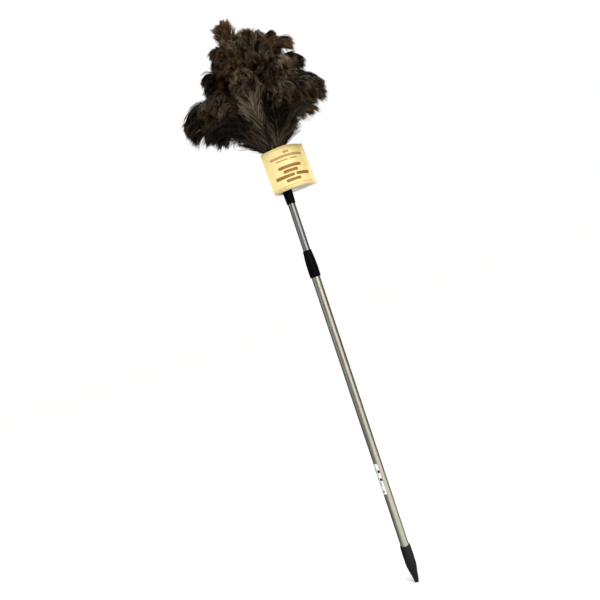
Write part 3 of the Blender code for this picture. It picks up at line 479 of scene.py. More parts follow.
@dataclass(frozen=True)
class TurnedWood(Finish):
    """Beech: fine flecks and long grain."""

    grain: float = 0.0012
    grain_length: float = 1 / 60  # about 17 mm
    dark: str = "#8E6238"

    def make(self) -> bpy.types.Material:
        """Makes the material: a noise drawn out along Z mixes the two wood colours.

        Returns:
            The material.
        """
        material, tree, shader = self.start()
        place = add_node(tree, "ShaderNodeTexCoord", {}).outputs["Object"]
        along = add_node(
            tree,
            "ShaderNodeMapping",
            {
                "Vector": place,
                "Scale": (1 / self.grain, 1 / self.grain, 1 / self.grain_length),
            },
        )
        grain = add_node(
            tree, "ShaderNodeTexNoise", {"Vector": along.outputs[0], "Scale": 1.0, "Detail": 5.0}
        )
        colour = add_node(
            tree,
            "ShaderNodeMix",
            {"Factor": grain.outputs["Fac"], 6: linear(self.dark), 7: linear(self.colour)},
            data_type="RGBA",
        )
        tree.links.new(colour.outputs[2], shader.inputs["Base Color"])
        return material


@dataclass(frozen=True)
class Bar:
    """One plain bar of print. Places are shares of the printed face, from its left and its top."""

    left: float
    right: float
    top: float
    bottom: float
    colour: str


@dataclass(frozen=True)
class PrintedPaper(Finish):
    """Coated card or paper: matt, with faint fibres.

    Plain bars stand where such goods carry print.
    """

    bars: tuple[Bar, ...] = ()
    softness: float = 0.006  # of a bar's edges, as a share of the face
    fibre: float = 0.0009  # coarser than real fibres, so that they show
    mottle: float = 0.018
    depth: float = 0.00003

    def make(self) -> bpy.types.Material:
        """Makes the material: each bar is the product of two soft steps across and two along.

        Returns:
            The material.
        """
        material, tree, shader = self.start()
        place = add_node(tree, "ShaderNodeTexCoord", {}).outputs["Object"]
        fibres = add_node(
            tree, "ShaderNodeTexNoise", {"Vector": place, "Scale": 1 / self.fibre, "Detail": 4.0}
        )
        mottle = add_node(
            tree, "ShaderNodeTexNoise", {"Vector": place, "Scale": 1 / self.mottle, "Detail": 3.0}
        )
        tint = add_node(
            tree,
            "ShaderNodeMapRange",
            {
                "Value": mottle.outputs["Fac"],
                "From Min": 0.3,
                "From Max": 0.7,
                "To Min": 0.95,
                "To Max": 1.03,
            },
        )
        paper = add_node(
            tree,
            "ShaderNodeVectorMath",
            {0: linear(self.colour)[:3], "Scale": tint.outputs[0]},
            operation="SCALE",
        )
        colour = paper.outputs[0]
        surface = add_node(tree, "ShaderNodeUVMap", {}, uv_map="surface")
        split = add_node(tree, "ShaderNodeSeparateXYZ", {"Vector": surface.outputs[0]})
        for bar in self.bars:
            edges = (
                ("X", bar.left, 1.0),
                ("X", bar.right, -1.0),
                ("Y", 1 - bar.bottom, 1.0),
                ("Y", 1 - bar.top, -1.0),
            )
            mask = None
            for axis, edge, side in edges:
                step = add_node(
                    tree,
                    "ShaderNodeMapRange",
                    {
                        "Value": split.outputs[axis],
                        "From Min": edge - side * self.softness,
                        "From Max": edge + side * self.softness,
                    },
                    interpolation_type="SMOOTHSTEP",
                ).outputs[0]
                if mask is None:
                    mask = step
                else:
                    mask = add_node(
                        tree, "ShaderNodeMath", {0: mask, 1: step}, operation="MULTIPLY"
                    ).outputs[0]
            colour = add_node(
                tree,
                "ShaderNodeMix",
                {"Factor": mask, 6: colour, 7: linear(bar.colour)},
                data_type="RGBA",
            ).outputs[2]
        bump = add_node(
            tree,
            "ShaderNodeBump",
            {"Height": fibres.outputs["Fac"], "Distance": self.depth, "Strength": 0.4},
        )
        tree.links.new(colour, shader.inputs["Base Color"])
        tree.links.new(bump.outputs[0], shader.inputs["Normal"])
        return material


class Tone(Enum):
    """The four tones of feather in the head, each with its base, lighter and end colours."""

    BLACK = ("black_ostrich_barbs", "#030202", "#332D26", "#3A2814")
    DARK = ("dark_ostrich_barbs", "#060402", "#6E6150", "#533A20")
    BROWN = ("brown_ostrich_barbs", "#130D08", "#90795D", "#8C6838")
    GREY = ("grey_brown_ostrich_barbs", "#211A13", "#B09F87", "#7E6A48")

    def make(self) -> bpy.types.Material:
        """Makes this tone's material."""
        name, colour, light, ends = self.value
        return Plume(name, colour, 0.5, ior=1.55, light=light, ends=ends).make()


@dataclass(frozen=True)
class Layer:
    """One ring of plumes, as the CAD lays it out."""

    name: str
    ring: float  # radius of its quills' ring
    reach: float  # of a plume's tip from the pole's axis
    rise: float  # of its tip above the card
    half_width: float
    hang: float  # how far its edges hang below its shaft
    hang_start: float  # shares of a plume's length where its edges start to hang and hang fully
    hang_full: float
    wide: float  # share of its length where it is as wide as it gets
    tip_width: float  # share of the half width that is left at the very tip


@dataclass(frozen=True)
class Shape:
    """One plume's direction and bend, as the CAD gives them, and its tone."""

    azimuth: float  # degrees from +X towards +Y
    reach_share: float  # of its layer's reach
    rise_share: float  # of its layer's rise
    lean: float  # degrees from upright at the neck
    droop: float  # degrees from upright at the tip
    fall_share: float  # of the way back from the tip, where it bends over to its droop
    tone: Tone = Tone.DARK


@dataclass(frozen=True)
class Lower:
    """A smaller plume under a main one, which fills the fan down to its lowest barbs.

    Its reach, rise and width are shares of the main one's. Its lean and droop are added to those,
    and its amount is its share of the usual number of barbs.
    """

    reach: float
    rise: float
    lean: float
    droop: float
    width: float
    amount: float


@dataclass(frozen=True)
class Barbs:
    """All barbs of one plume, one row for each. The barbs of a tuft share the last four."""

    left: Array  # whether it grows on the shaft's left
    root: Array  # where it leaves the shaft, as a length along it
    end: Array  # how far along the shaft it reaches
    wide: Array  # how far out from the shaft it reaches
    roll: Array  # how far its tuft is turned up out of the blade, in radians
    tone: Array  # from dark at 0 to light at 1
    hang: Array  # share of the blade's hang
    curl: Array  # how far its end curls off along each axis


OUTER = Layer("outer_plume", OUTER_RING, 0.182, 0.108, 0.046, 0.056, 0.18, 0.60, 0.34, 0.50)
MIDDLE = Layer("middle_plume", MIDDLE_RING, 0.128, 0.196, 0.042, 0.044, 0.28, 0.72, 0.34, 0.50)
INNER = Layer("inner_plume", INNER_RING, 0.122, 0.262, 0.038, 0.042, 0.32, 0.76, 0.40, 0.55)
CORE = Layer("core_plume", INNER_RING, 0.036, 0.302, 0.036, 0.014, 0.30, 0.80, 0.60, 0.80)

OUTER_SHAPES = (
    Shape(180, 0.97, 1.06, 25, 148, 0.62, Tone.BLACK),
    Shape(215, 0.82, 1.10, 24, 140, 0.50),
    Shape(260, 0.54, 1.58, 19, 84, 0.20, Tone.GREY),
    Shape(300, 0.72, 0.96, 27, 130, 0.40),
    Shape(330, 0.80, 0.94, 27, 142, 0.44),
    Shape(0, 0.85, 1.09, 24, 150, 0.56),
    Shape(34, 0.80, 1.00, 25, 144, 0.48, Tone.BROWN),
    Shape(70, 0.78, 0.94, 27, 138, 0.42),
    Shape(106, 0.80, 0.92, 27, 138, 0.42, Tone.BROWN),
    Shape(143, 0.90, 1.00, 25, 144, 0.52),
)
MIDDLE_SHAPES = (
    Shape(172, 0.84, 1.04, 21, 140, 0.34, Tone.BLACK),
    Shape(210, 0.62, 1.14, 17, 112, 0.24),
    Shape(248, 0.58, 1.06, 14, 76, 0.20, Tone.BROWN),
    Shape(288, 0.72, 1.00, 18, 100, 0.25),
    Shape(326, 0.84, 0.90, 22, 130, 0.38, Tone.GREY),
    Shape(8, 1.00, 0.95, 21, 142, 0.42, Tone.BLACK),
    Shape(50, 0.86, 1.02, 21, 128, 0.36, Tone.BROWN),
    Shape(92, 0.78, 1.02, 21, 118, 0.32),
    Shape(133, 0.84, 1.02, 21, 126, 0.34, Tone.BROWN),
)
INNER_SHAPES = (
    Shape(184, 0.54, 0.99, 12, 100, 0.16),
    Shape(206, 0.47, 0.97, 10, 60, 0.14, Tone.BROWN),
    Shape(262, 0.47, 0.98, 10, 56, 0.14, Tone.GREY),
    Shape(306, 0.66, 0.95, 12, 100, 0.20, Tone.GREY),
    Shape(357, 0.95, 0.88, 14, 122, 0.35, Tone.BROWN),
    Shape(22, 0.74, 1.05, 11, 84, 0.22, Tone.BROWN),
    Shape(72, 0.60, 1.06, 11, 80, 0.16, Tone.BROWN),
    Shape(150, 0.62, 1.04, 12, 90, 0.16),
)
CORE_SHAPES = (
    Shape(229, 1.20, 1.00, 3, 18, 0.20, Tone.BROWN),
    Shape(333, 1.00, 0.91, 3, 24, 0.20, Tone.BROWN),
    Shape(110, 0.90, 0.98, 4, 22, 0.20, Tone.BROWN),
)


@dataclass(frozen=True)
class Room:
    """Angles that a plume may fill on its right and its left, in radians."""

    near: Array  # between the quills of its ring
    far: Array  # further out


class Midline:
    """The shaft of one plume: a cubic curve in the plane through the pole's axis."""

    points: int = 121
    hold: float = 0.40  # share of the way to its tip over which a plume holds its lean
    beyond: float = 0.08  # how far the curve is carried on past its tip

    def __init__(self, layer: Layer, shape: Shape) -> None:
        """Works out the curve and its length so far, and carries it on past its tip.

        The curve leaves the neck at the shape's lean and ends at its droop.

        Args:
            layer: The plume's layer.
            shape: The plume's bend.
        """
        root = np.array((layer.ring, PLUME_START_Z))
        reach, rise = layer.reach * shape.reach_share, layer.rise * shape.rise_share
        tip = np.array((reach, TAG_TOP_Z + rise))
        span = np.linalg.norm(tip - root)
        lean, droop = math.radians(shape.lean), math.radians(shape.droop)
        rising = root + np.array((math.sin(lean), math.cos(lean))) * span * self.hold
        falling = tip - np.array((math.sin(droop), math.cos(droop))) * span * shape.fall_share
        s = np.linspace(0.0, 1.0, self.points)[:, None]
        r = 1 - s
        places = r**3 * root + 3 * r**2 * s * rising + 3 * r * s**2 * falling + s**3 * tip
        slope = r**2 * (rising - root) + 2 * r * s * (falling - rising) + s**2 * (tip - falling)
        leans = np.arctan2(slope[:, 0], slope[:, 1])
        steps = np.linalg.norm(np.diff(places, axis=0), axis=1)
        lengths = np.concatenate(([0.0], np.cumsum(steps)))
        onward = np.array((math.sin(leans[-1]), math.cos(leans[-1])))
        ahead = places[-1] + self.beyond * onward
        self.length: float = float(lengths[-1])
        self._runs = np.append(lengths, lengths[-1] + self.beyond)
        self._radii = np.append(places[:, 0], ahead[0])
        self._heights = np.append(places[:, 1], ahead[1])
        self._leans = np.append(leans, leans[-1])

    def at(self, run: Array) -> tuple[Array, Array, Array]:
        """Reads the curve.

        Args:
            run: Lengths along it from the neck.

        Returns:
            Distance from the pole's axis, height and lean at each.
        """
        return (
            np.interp(run, self._runs, self._radii),
            np.interp(run, self._runs, self._heights),
            np.interp(run, self._runs, self._leans),
        )


@dataclass
class FeatherHead:
    """All plumes of the duster: each a tapered shaft with several thousand barbs."""

    # How many barbs there are, and where they grow
    barbs_per_metre: float = 9600.0
    stations: int = 7  # points along a barb
    bare_shaft: float = 0.004  # length without barbs at the neck
    last_root: float = 0.985  # share of the shaft's length up to which barbs grow
    first_seed: int = 12  # of the first plume's random numbers, and each next plume adds one

    # How they gather into tufts
    tuft_spacing: float = 0.0050
    tuft_overlap: float = 0.5  # how far a tuft mixes with the next one, in spacings
    tuft_depths: int = 2  # tufts that lie over each other at one place
    tuft_gather: float = 0.30  # how far a barb's root is drawn to the middle of its tuft
    tuft_pull: float = 0.50  # how far its end is drawn to the end of its tuft
    tuft_end_spread: float = 0.0030  # spread of the tufts' ends along the shaft
    tuft_widths: tuple[float, float] = (0.78, 1.10)  # least and greatest share of the blade's
    tuft_hangs: tuple[float, float] = (0.70, 1.08)  # the same for its hang
    tuft_roll: tuple[float, float] = (0.20, 0.36)  # mean and spread in radians
    roll_limits: tuple[float, float] = (-0.25, 1.1)
    barb_end_spread: float = 0.0035  # the same for the barbs' ends
    barb_widths: tuple[float, float] = (0.80, 1.08)  # and for how far out a barb reaches

    # Tone, from 0 to 1: bands along the plume, chance for each tuft and chance for each barb
    tone_band: float = 0.11  # length of a paler and a darker stretch of a plume
    tone_of_band: float = 0.55
    tone_of_tuft: float = 0.45
    tone_shared: float = 0.65
    tone_of_barb: float = 0.35

    # The way of a barb from the shaft to its end
    sweep: float = 1.20  # power of its run along the shaft
    opening: float = 1.1  # power of its run across
    fall: float = 1.6  # power of its hang across the blade
    fall_past_edge: float = 1.2  # hang of barbs past the blade's edge, at most
    wave: float = 0.0011  # how far a barb waves on its way
    wave_turns: tuple[float, float] = (0.5, 1.1)  # least and greatest number of its waves
    curl: float = 0.0022  # how far a tuft's end curls off
    curl_over: tuple[float, float] = (0.45, 1.0)  # shares of a barb between which it curls
    loosen_over: tuple[float, float] = (0.01, 0.08)  # roots between which the curl sets in
    curl_down: float = 0.2  # share of it that is always downwards
    barb_curl: float = 0.4  # share of it that each barb adds for itself
    fluff: float = 0.009  # how far barbs stand off the blade
    fluff_spread: float = 0.7
    fluff_over: tuple[float, float] = (0.0, 0.10)  # lengths between which a plume fluffs up
    settle_over: tuple[float, float] = (0.75, 1.0)  # shares of it between which this halves
    sag: float = 0.003  # how far a barb's end sags at most
    sag_over: tuple[float, float] = (0.03, 0.12)
    main_width: float = 0.85  # of the CAD's half width, since loose ends add to it
    softness: float = 0.12  # of the CAD's hang, since loose ends add to it
    tip_softness: float = 0.30  # the same at the tip
    soften_over: tuple[float, float] = (0.6, 1.0)  # shares between which it softens
    round_start: float = 0.72  # share of its length where a plume starts to round off
    round_length: float = 0.28
    forward: float = 2.1  # reach of a barb along the shaft, in half widths
    forward_at_neck: float = 0.60  # share of that at the neck
    forward_gained: float = 0.40  # share that it gains further up
    forward_over: tuple[float, float] = (0.0, 0.09)  # lengths between which it gains it
    past_tip: float = 0.002  # how far the last barbs reach past the shaft's tip
    tip_fan: float = 0.98  # how narrow the fan at the tip ends

    # One barb
    barb_width: float = 0.0014  # wider than a real one, since each stands for a small bunch
    barb_scales: tuple[float, float] = (0.7, 1.3)  # least and greatest share of that
    barb_roll: float = 0.35  # spread of its turn about its own line, in radians
    barb_twist: float = 0.5  # the same for what it gains towards its end

    # Room between the plumes and over the tag
    quill_apart: float = 0.020  # length over which a plume stays between the quills beside it
    plume_free: float = 0.070  # length past which it may spread behind or before them
    over_tag: float = 0.004  # height over the card that a hanging edge keeps
    into_tag: float = 0.003  # how far the lowest barbs may dip behind the card's edge
    curl_into_tag: float = 0.002  # the same once they have curled
    ragged: float = 0.004  # unevenness of the barbs that lie on the card
    least_radius: float = 0.003  # how near the pole's axis a barb may come
    widest_side: float = 55.0  # degrees of room on one side, at most
    spread_past: float = 1.3  # how far a plume may spread, in half the angle to the next one

    # The smaller plumes
    under_turn: float = 7.0  # degrees between a plume and the smaller ones under it
    full_droop: float = 140.0  # droop in degrees of a plume whose lower ones lean out fully
    under_plumes: tuple[Lower, ...] = (
        Lower(1.00, 0.96, 6, -20, 0.80, 0.50),
        Lower(1.00, 0.88, 13, -30, 0.80, 0.55),
        Lower(0.98, 0.79, 20, -38, 0.76, 0.40),
    )

    # The shaft
    shaft_sides: int = 8
    shaft_stations: int = 26
    shaft_share: float = 0.88  # of the plume's length
    shaft_foot: float = 0.0013  # radius that it loses on its way up
    shaft_tip: float = 0.00025  # radius that is left at its tip
    materials: dict[Tone, bpy.types.Material] = field(default_factory=dict)

    def build(self) -> None:
        """Builds the plumes of all four layers and dresses them."""
        self.materials = {tone: tone.make() for tone in Tone}
        # Keratin of the shafts: horn-like, smoother than the barbs and faintly glossy
        shaft = Finish("feather_shaft_keratin", "#4A3B2B", 0.42, ior=1.55).start()[0]
        inner_ring = CORE_SHAPES + INNER_SHAPES
        groups = (
            (CORE, CORE_SHAPES, inner_ring),
            (INNER, INNER_SHAPES, inner_ring),
            (MIDDLE, MIDDLE_SHAPES, MIDDLE_SHAPES),
            (OUTER, OUTER_SHAPES, OUTER_SHAPES),
        )
        seeds = count(self.first_seed)
        for layer, shapes, mates in groups:
            for number, shape in enumerate(shapes, start=1):
                room = Room(self.half_turns(shape, mates), self.half_turns(shape, shapes))
                node = f"{layer.name}_{number:02d}"
                self.build_plume(node, layer, shape, room, next(seeds), shaft)

    def half_turns(self, shape: Shape, others: tuple[Shape, ...]) -> Array:
        """Works out the room on both sides of a plume.

        Args:
            shape: The plume.
            others: All plumes of the ring.

        Returns:
            Half the angles to the plumes next to this one, right and left, in radians.
        """
        turns = [(other.azimuth - shape.azimuth) % 360 for other in others if other is not shape]
        sides = np.array(((360 - max(turns)) / 2, min(turns) / 2))
        return np.radians(np.minimum(sides, self.widest_side))

    def free_width(self, layer: Layer, share: Array) -> Array:
        """Works out the blade's width: it opens from the quill, holds, and rounds off at the tip.

        Args:
            layer: The plume's layer.
            share: Shares of the plume's length.

        Returns:
            Half the width at each. Towards the tip it goes as the root of 1 - p^2, where p grows
            from 0 to 1.
        """
        opening = np.clip(share / layer.wide, 0.0, 1.0)
        past = np.clip((share - self.round_start) / self.round_length, 0.0, 1.0)
        tip = layer.tip_width + (1 - layer.tip_width) * np.sqrt(1 - past * past)
        return QUILL_RADIUS + (layer.half_width - QUILL_RADIUS) * opening * tip

    def build_plume(
        self,
        node: str,
        layer: Layer,
        shape: Shape,
        room: Room,
        seed: int,
        shaft: bpy.types.Material,
    ) -> None:
        """Builds one plume in the place of its CAD solid.

        Args:
            node: The CAD node that it replaces.
            layer: The plume's layer.
            shape: The plume's bend.
            room: Angles that it may fill.
            seed: Seed of its own random numbers.
            shaft: The shaft's material.
        """
        rng = np.random.default_rng(seed)
        line = Midline(layer, shape)
        over = replace(layer, half_width=layer.half_width * self.main_width)
        grown = [self.grow(over, shape, line, room, 1.0, rng)]
        side = self.under_turn
        bending = min(1.0, shape.droop / self.full_droop)
        for lower in self.under_plumes:
            side = -side
            bent = replace(
                shape,
                azimuth=shape.azimuth + side,
                reach_share=shape.reach_share * lower.reach,
                rise_share=shape.rise_share * lower.rise,
                lean=shape.lean + lower.lean * bending,
                droop=shape.droop + lower.droop * bending,
            )
            slim = replace(layer, half_width=layer.half_width * lower.width)
            grown.append(self.grow(slim, bent, Midline(slim, bent), room, lower.amount, rng))
        points, uv = (np.concatenate(arrays) for arrays in zip(*grown))
        mesh = grid_mesh(node + "_barbs", points, uv)
        mesh.materials.append(self.materials[shape.tone])
        add_piece(node + "_barbs", mesh, "head", "ostrich_feather", node)
        quill, quill_uv = self.shaft(layer, shape, line)
        stem = grid_mesh(node + "_shaft", quill, quill_uv, wrap=True)
        stem.materials.append(shaft)
        add_piece(node + "_shaft", stem, "head", "ostrich_feather")

    def shaft(self, layer: Layer, shape: Shape, line: Midline) -> tuple[Array, Array]:
        """Carries a shrinking circle along the midline, from the binding up.

        Its radius is tip + foot (1 - s)^0.8, where s is the share of the way up.

        Args:
            layer: The plume's layer.
            shape: The plume's bend.
            line: Its midline.

        Returns:
            Places by grid, station and side, and the surface map.
        """
        up = np.linspace(self.bare_shaft, line.length * self.shaft_share, self.shaft_stations)
        run = np.concatenate(([PLUME_START_Z - QUILL_FOOT_Z, 0.0], up))
        radius, height, lean = line.at(run)
        radius[0], height[0], lean[0] = layer.ring, QUILL_FOOT_Z, 0.0
        lean[1] = lean[1] / 2
        share = np.concatenate(([0.0, 0.0], np.linspace(0.0, 1.0, self.shaft_stations)))
        thick = self.shaft_foot * (1 - share) ** 0.8 + self.shaft_tip
        turn = np.linspace(0.0, 2 * np.pi, self.shaft_sides, endpoint=False)
        azimuth = math.radians(shape.azimuth)
        out = thick[:, None] * np.cos(turn)
        side = thick[:, None] * np.sin(turn)
        distance = radius[:, None] + out * np.cos(lean)[:, None]
        z = height[:, None] - out * np.sin(lean)[:, None]
        x = distance * math.cos(azimuth) - side * math.sin(azimuth)
        y = distance * math.sin(azimuth) + side * math.cos(azimuth)
        points = np.stack([x, y, z], axis=-1)[None]
        uv = np.zeros(points.shape[:3] + (2,))
        uv[..., 0] = share[None, :, None]
        return points, uv

    def grow(
        self,
        layer: Layer,
        shape: Shape,
        line: Midline,
        room: Room,
        amount: float,
        rng: np.random.Generator,
    ) -> tuple[Array, Array]:
        """Works out all barbs of a plume at once as ribbons.

        Args:
            layer: The plume's layer.
            shape: The plume's bend.
            line: Its midline.
            room: Angles that it may fill.
            amount: Share of the usual number of barbs.
            rng: Its random numbers.

        Returns:
            Places by barb, station and ribbon side, and the surface map: U runs along the barb,
            and V is its tone.
        """
        barbs = self.gather(layer, line, amount, rng)
        centre, facing = self.middle_lines(layer, shape, line, room, barbs, rng)
        points = self.ribbons(centre, facing, rng)
        chance = self.tone_of_barb * rng.random(barbs.tone.shape)
        tone = np.clip(self.tone_shared * barbs.tone + chance, 0.0, 1.0)
        uv = np.empty(points.shape[:3] + (2,))
        uv[..., 0] = np.linspace(0.0, 1.0, self.stations)[None, :, None]
        uv[..., 1] = tone[..., None]
        return points, uv

    def gather(
        self, layer: Layer, line: Midline, amount: float, rng: np.random.Generator
    ) -> Barbs:
        """Spreads the roots along the shaft and gathers the barbs into tufts.

        A tuft takes the barbs of one side and one depth over tuft_spacing of the shaft, and its
        barbs' roots, reaches and widths are drawn to its own. Its tone follows a sine wave along
        the plume, one wave to tone_band, with chance added.

        Args:
            layer: The plume's layer.
            line: Its midline.
            amount: Share of the usual number of barbs.
            rng: Its random numbers.

        Returns:
            The barbs.
        """
        barbs = int(line.length * self.barbs_per_metre * amount)
        even = (np.arange(barbs) + rng.random(barbs)) / barbs
        root = self.bare_shaft + (line.length * self.last_root - self.bare_shaft) * even
        left = rng.random(barbs) < 0.5
        depth = rng.integers(0, self.tuft_depths, barbs)
        mixed = root / self.tuft_spacing + rng.random(barbs) * self.tuft_overlap
        tuft = (np.floor(mixed).astype(int) * 2 + left) * self.tuft_depths + depth
        tufts = int(tuft.max()) + 1
        step = np.arange(tufts) // (2 * self.tuft_depths)
        tuft_root = step * self.tuft_spacing + self.tuft_spacing / 2
        root += (tuft_root[tuft] - root) * self.tuft_gather
        tuft_end, tuft_wide = self.ends(layer, line, tuft_root)
        tuft_end = tuft_end + rng.normal(0.0, self.tuft_end_spread, tufts)
        tuft_wide = tuft_wide * rng.uniform(*self.tuft_widths, tufts)
        roll = np.clip(rng.normal(*self.tuft_roll, tufts), *self.roll_limits)
        band = 0.5 + 0.5 * np.sin(2 * np.pi * (tuft_root / self.tone_band + rng.random()))
        tone = self.tone_of_band * band + self.tone_of_tuft * rng.random(tufts)
        hang = rng.uniform(*self.tuft_hangs, tufts)
        down = np.array((0.0, 0.0, self.curl_down * self.curl))
        curl = rng.normal(0.0, 1.0, (tufts, 3)) * self.curl - down
        end, wide = self.ends(layer, line, root)
        end = end + rng.normal(0.0, self.barb_end_spread, barbs)
        wide = wide * rng.uniform(*self.barb_widths, barbs)
        end += (tuft_end[tuft] - end) * self.tuft_pull
        wide += (tuft_wide[tuft] - wide) * self.tuft_pull
        columns = (left, root, end, wide, roll[tuft], tone[tuft], hang[tuft])
        return Barbs(*(column[:, None] for column in columns), curl[tuft])

    def ends(self, layer: Layer, line: Midline, root: Array) -> tuple[Array, Array]:
        """Works out where barbs with these roots end.

        A barb reaches less far forwards near the neck. Past the tip its share o of that reach
        turns into a fan: across goes as the root of 1 - o^2.

        Args:
            layer: The plume's layer.
            line: Its midline.
            root: Lengths along the shaft where the barbs leave it.

        Returns:
            How far along the shaft, and how far across.
        """
        gained = self.forward_gained * smooth_rise(root, *self.forward_over)
        forward = self.forward * layer.half_width * (self.forward_at_neck + gained)
        over = np.clip((root + forward - line.length) / forward, 0.0, 1.0)
        end = np.minimum(root + forward, line.length + self.past_tip * over)
        blade = self.free_width(layer, np.clip(end / line.length, 0.0, 1.0))
        return end, blade * np.sqrt(1 - over * over * self.tip_fan)

    def middle_lines(
        self,
        layer: Layer,
        shape: Shape,
        line: Midline,
        room: Room,
        barbs: Barbs,
        rng: np.random.Generator,
    ) -> tuple[Array, Array]:
        """Works out the middle line of every barb.

        A barb leaves the shaft forwards and bends out to the blade's edge. Its run along the
        shaft goes as 1 - (1 - u)^sweep and its way across as u^opening, where u goes from 0 at
        the shaft to 1 at its end. It hangs by its share of the blade's width to the power fall.
        Between the quills its way round the pole w is held to the room m as
        (w^-4 + m^-4)^-0.25. Its end curls off with its tuft.

        Args:
            layer: The plume's layer.
            shape: The plume's bend.
            line: Its midline.
            room: Angles that it may fill.
            barbs: Its barbs.
            rng: Its random numbers.

        Returns:
            Places by barb and station, and which way the blade faces at each.
        """
        each = barbs.root.shape
        u = np.linspace(0.0, 1.0, self.stations)[None, :]
        run = barbs.root + (barbs.end - barbs.root) * (1 - (1 - u) ** self.sweep)
        share = run / line.length
        radius, height, lean = line.at(run)

        swing = rng.normal(0.0, self.wave, each)
        phase = rng.uniform(*self.wave_turns, each) * u + rng.random(each)
        wave = swing * np.sin(2 * np.pi * phase)
        across = barbs.wide * u**self.opening + wave * u
        free = self.free_width(layer, np.clip(share, 0.0, 1.0))
        softened = smooth_rise(share, *self.soften_over)
        soft = self.softness + (self.tip_softness - self.softness) * softened
        hang = soft * layer.hang * smooth_rise(share, layer.hang_start, layer.hang_full)
        hang = np.minimum(hang * barbs.hang, np.maximum(height - TAG_TOP_Z - self.over_tag, 0.0))

        puff = self.fluff * smooth_rise(run, *self.fluff_over)
        puff = puff * (1 - 0.5 * smooth_rise(share, *self.settle_over))
        lift = puff * rng.normal(0.0, self.fluff_spread, each) * u * (1.3 - u)
        lift += across * np.sin(barbs.roll)
        across = across * np.cos(barbs.roll)
        radius = np.maximum(radius + lift * np.cos(lean), self.least_radius)
        sag = rng.uniform(0.0, self.sag, each) * u**2 * smooth_rise(run, *self.sag_over)
        edge = np.clip(across / free, 0.0, self.fall_past_edge)
        height = height - lift * np.sin(lean) - hang * edge**self.fall - sag
        height = np.maximum(height, TAG_TOP_Z - self.into_tag + self.ragged * rng.random(each))

        spread = smooth_rise(run, self.quill_apart, self.plume_free)
        side = barbs.left.astype(int)
        near, far = room.near[side], room.far[side] * self.spread_past
        limit = (near + (far - near) * spread) * radius
        sign = np.where(barbs.left, 1.0, -1.0)
        turn = sign * (np.maximum(across, 1e-6) ** -4 + limit**-4) ** -0.25 / radius
        angle = math.radians(shape.azimuth) + turn

        centre = np.stack([radius * np.cos(angle), radius * np.sin(angle), height], axis=-1)
        own = rng.normal(0.0, self.barb_curl * self.curl, barbs.curl.shape)
        loose = smooth_rise(barbs.root, *self.loosen_over) * (barbs.curl + own)
        centre += loose[:, None, :] * smooth_rise(u, *self.curl_over)[..., None]
        centre[..., 2] = np.maximum(centre[..., 2], TAG_TOP_Z - self.curl_into_tag)
        facing = [np.cos(lean) * np.cos(angle), np.cos(lean) * np.sin(angle), -np.sin(lean)]
        return centre, np.stack(facing, axis=-1)

    def ribbons(self, centre: Array, facing: Array, rng: np.random.Generator) -> Array:
        """Gives each barb a flat width across its middle line, rolled and twisted a little.

        The width opens from 0.45 to 1 over the first fifth of a barb, and shrinks as
        1 - 0.85 u^3 along it.

        Args:
            centre: The middle lines.
            facing: Which way the blade faces along them.
            rng: The plume's random numbers.

        Returns:
            Places by barb, station and ribbon side.
        """
        each = (len(centre), 1)
        u = np.linspace(0.0, 1.0, self.stations)[None, :]
        along = np.gradient(centre, axis=1)
        along /= np.linalg.norm(along, axis=-1, keepdims=True) + 1e-12
        flat = np.cross(along, facing)
        flat /= np.linalg.norm(flat, axis=-1, keepdims=True) + 1e-12
        upright = np.cross(flat, along)
        roll = rng.normal(0.0, self.barb_roll, each) + rng.normal(0.0, self.barb_twist, each) * u
        arm = flat * np.cos(roll)[..., None] + upright * np.sin(roll)[..., None]
        taper = (0.45 + 0.55 * np.clip(u / 0.2, 0.0, 1.0)) * (1 - 0.85 * u**3)
        half = (0.5 * self.barb_width * rng.uniform(*self.barb_scales, each) * taper)[..., None]
        return np.stack([centre - arm * half, centre + arm * half], axis=2)


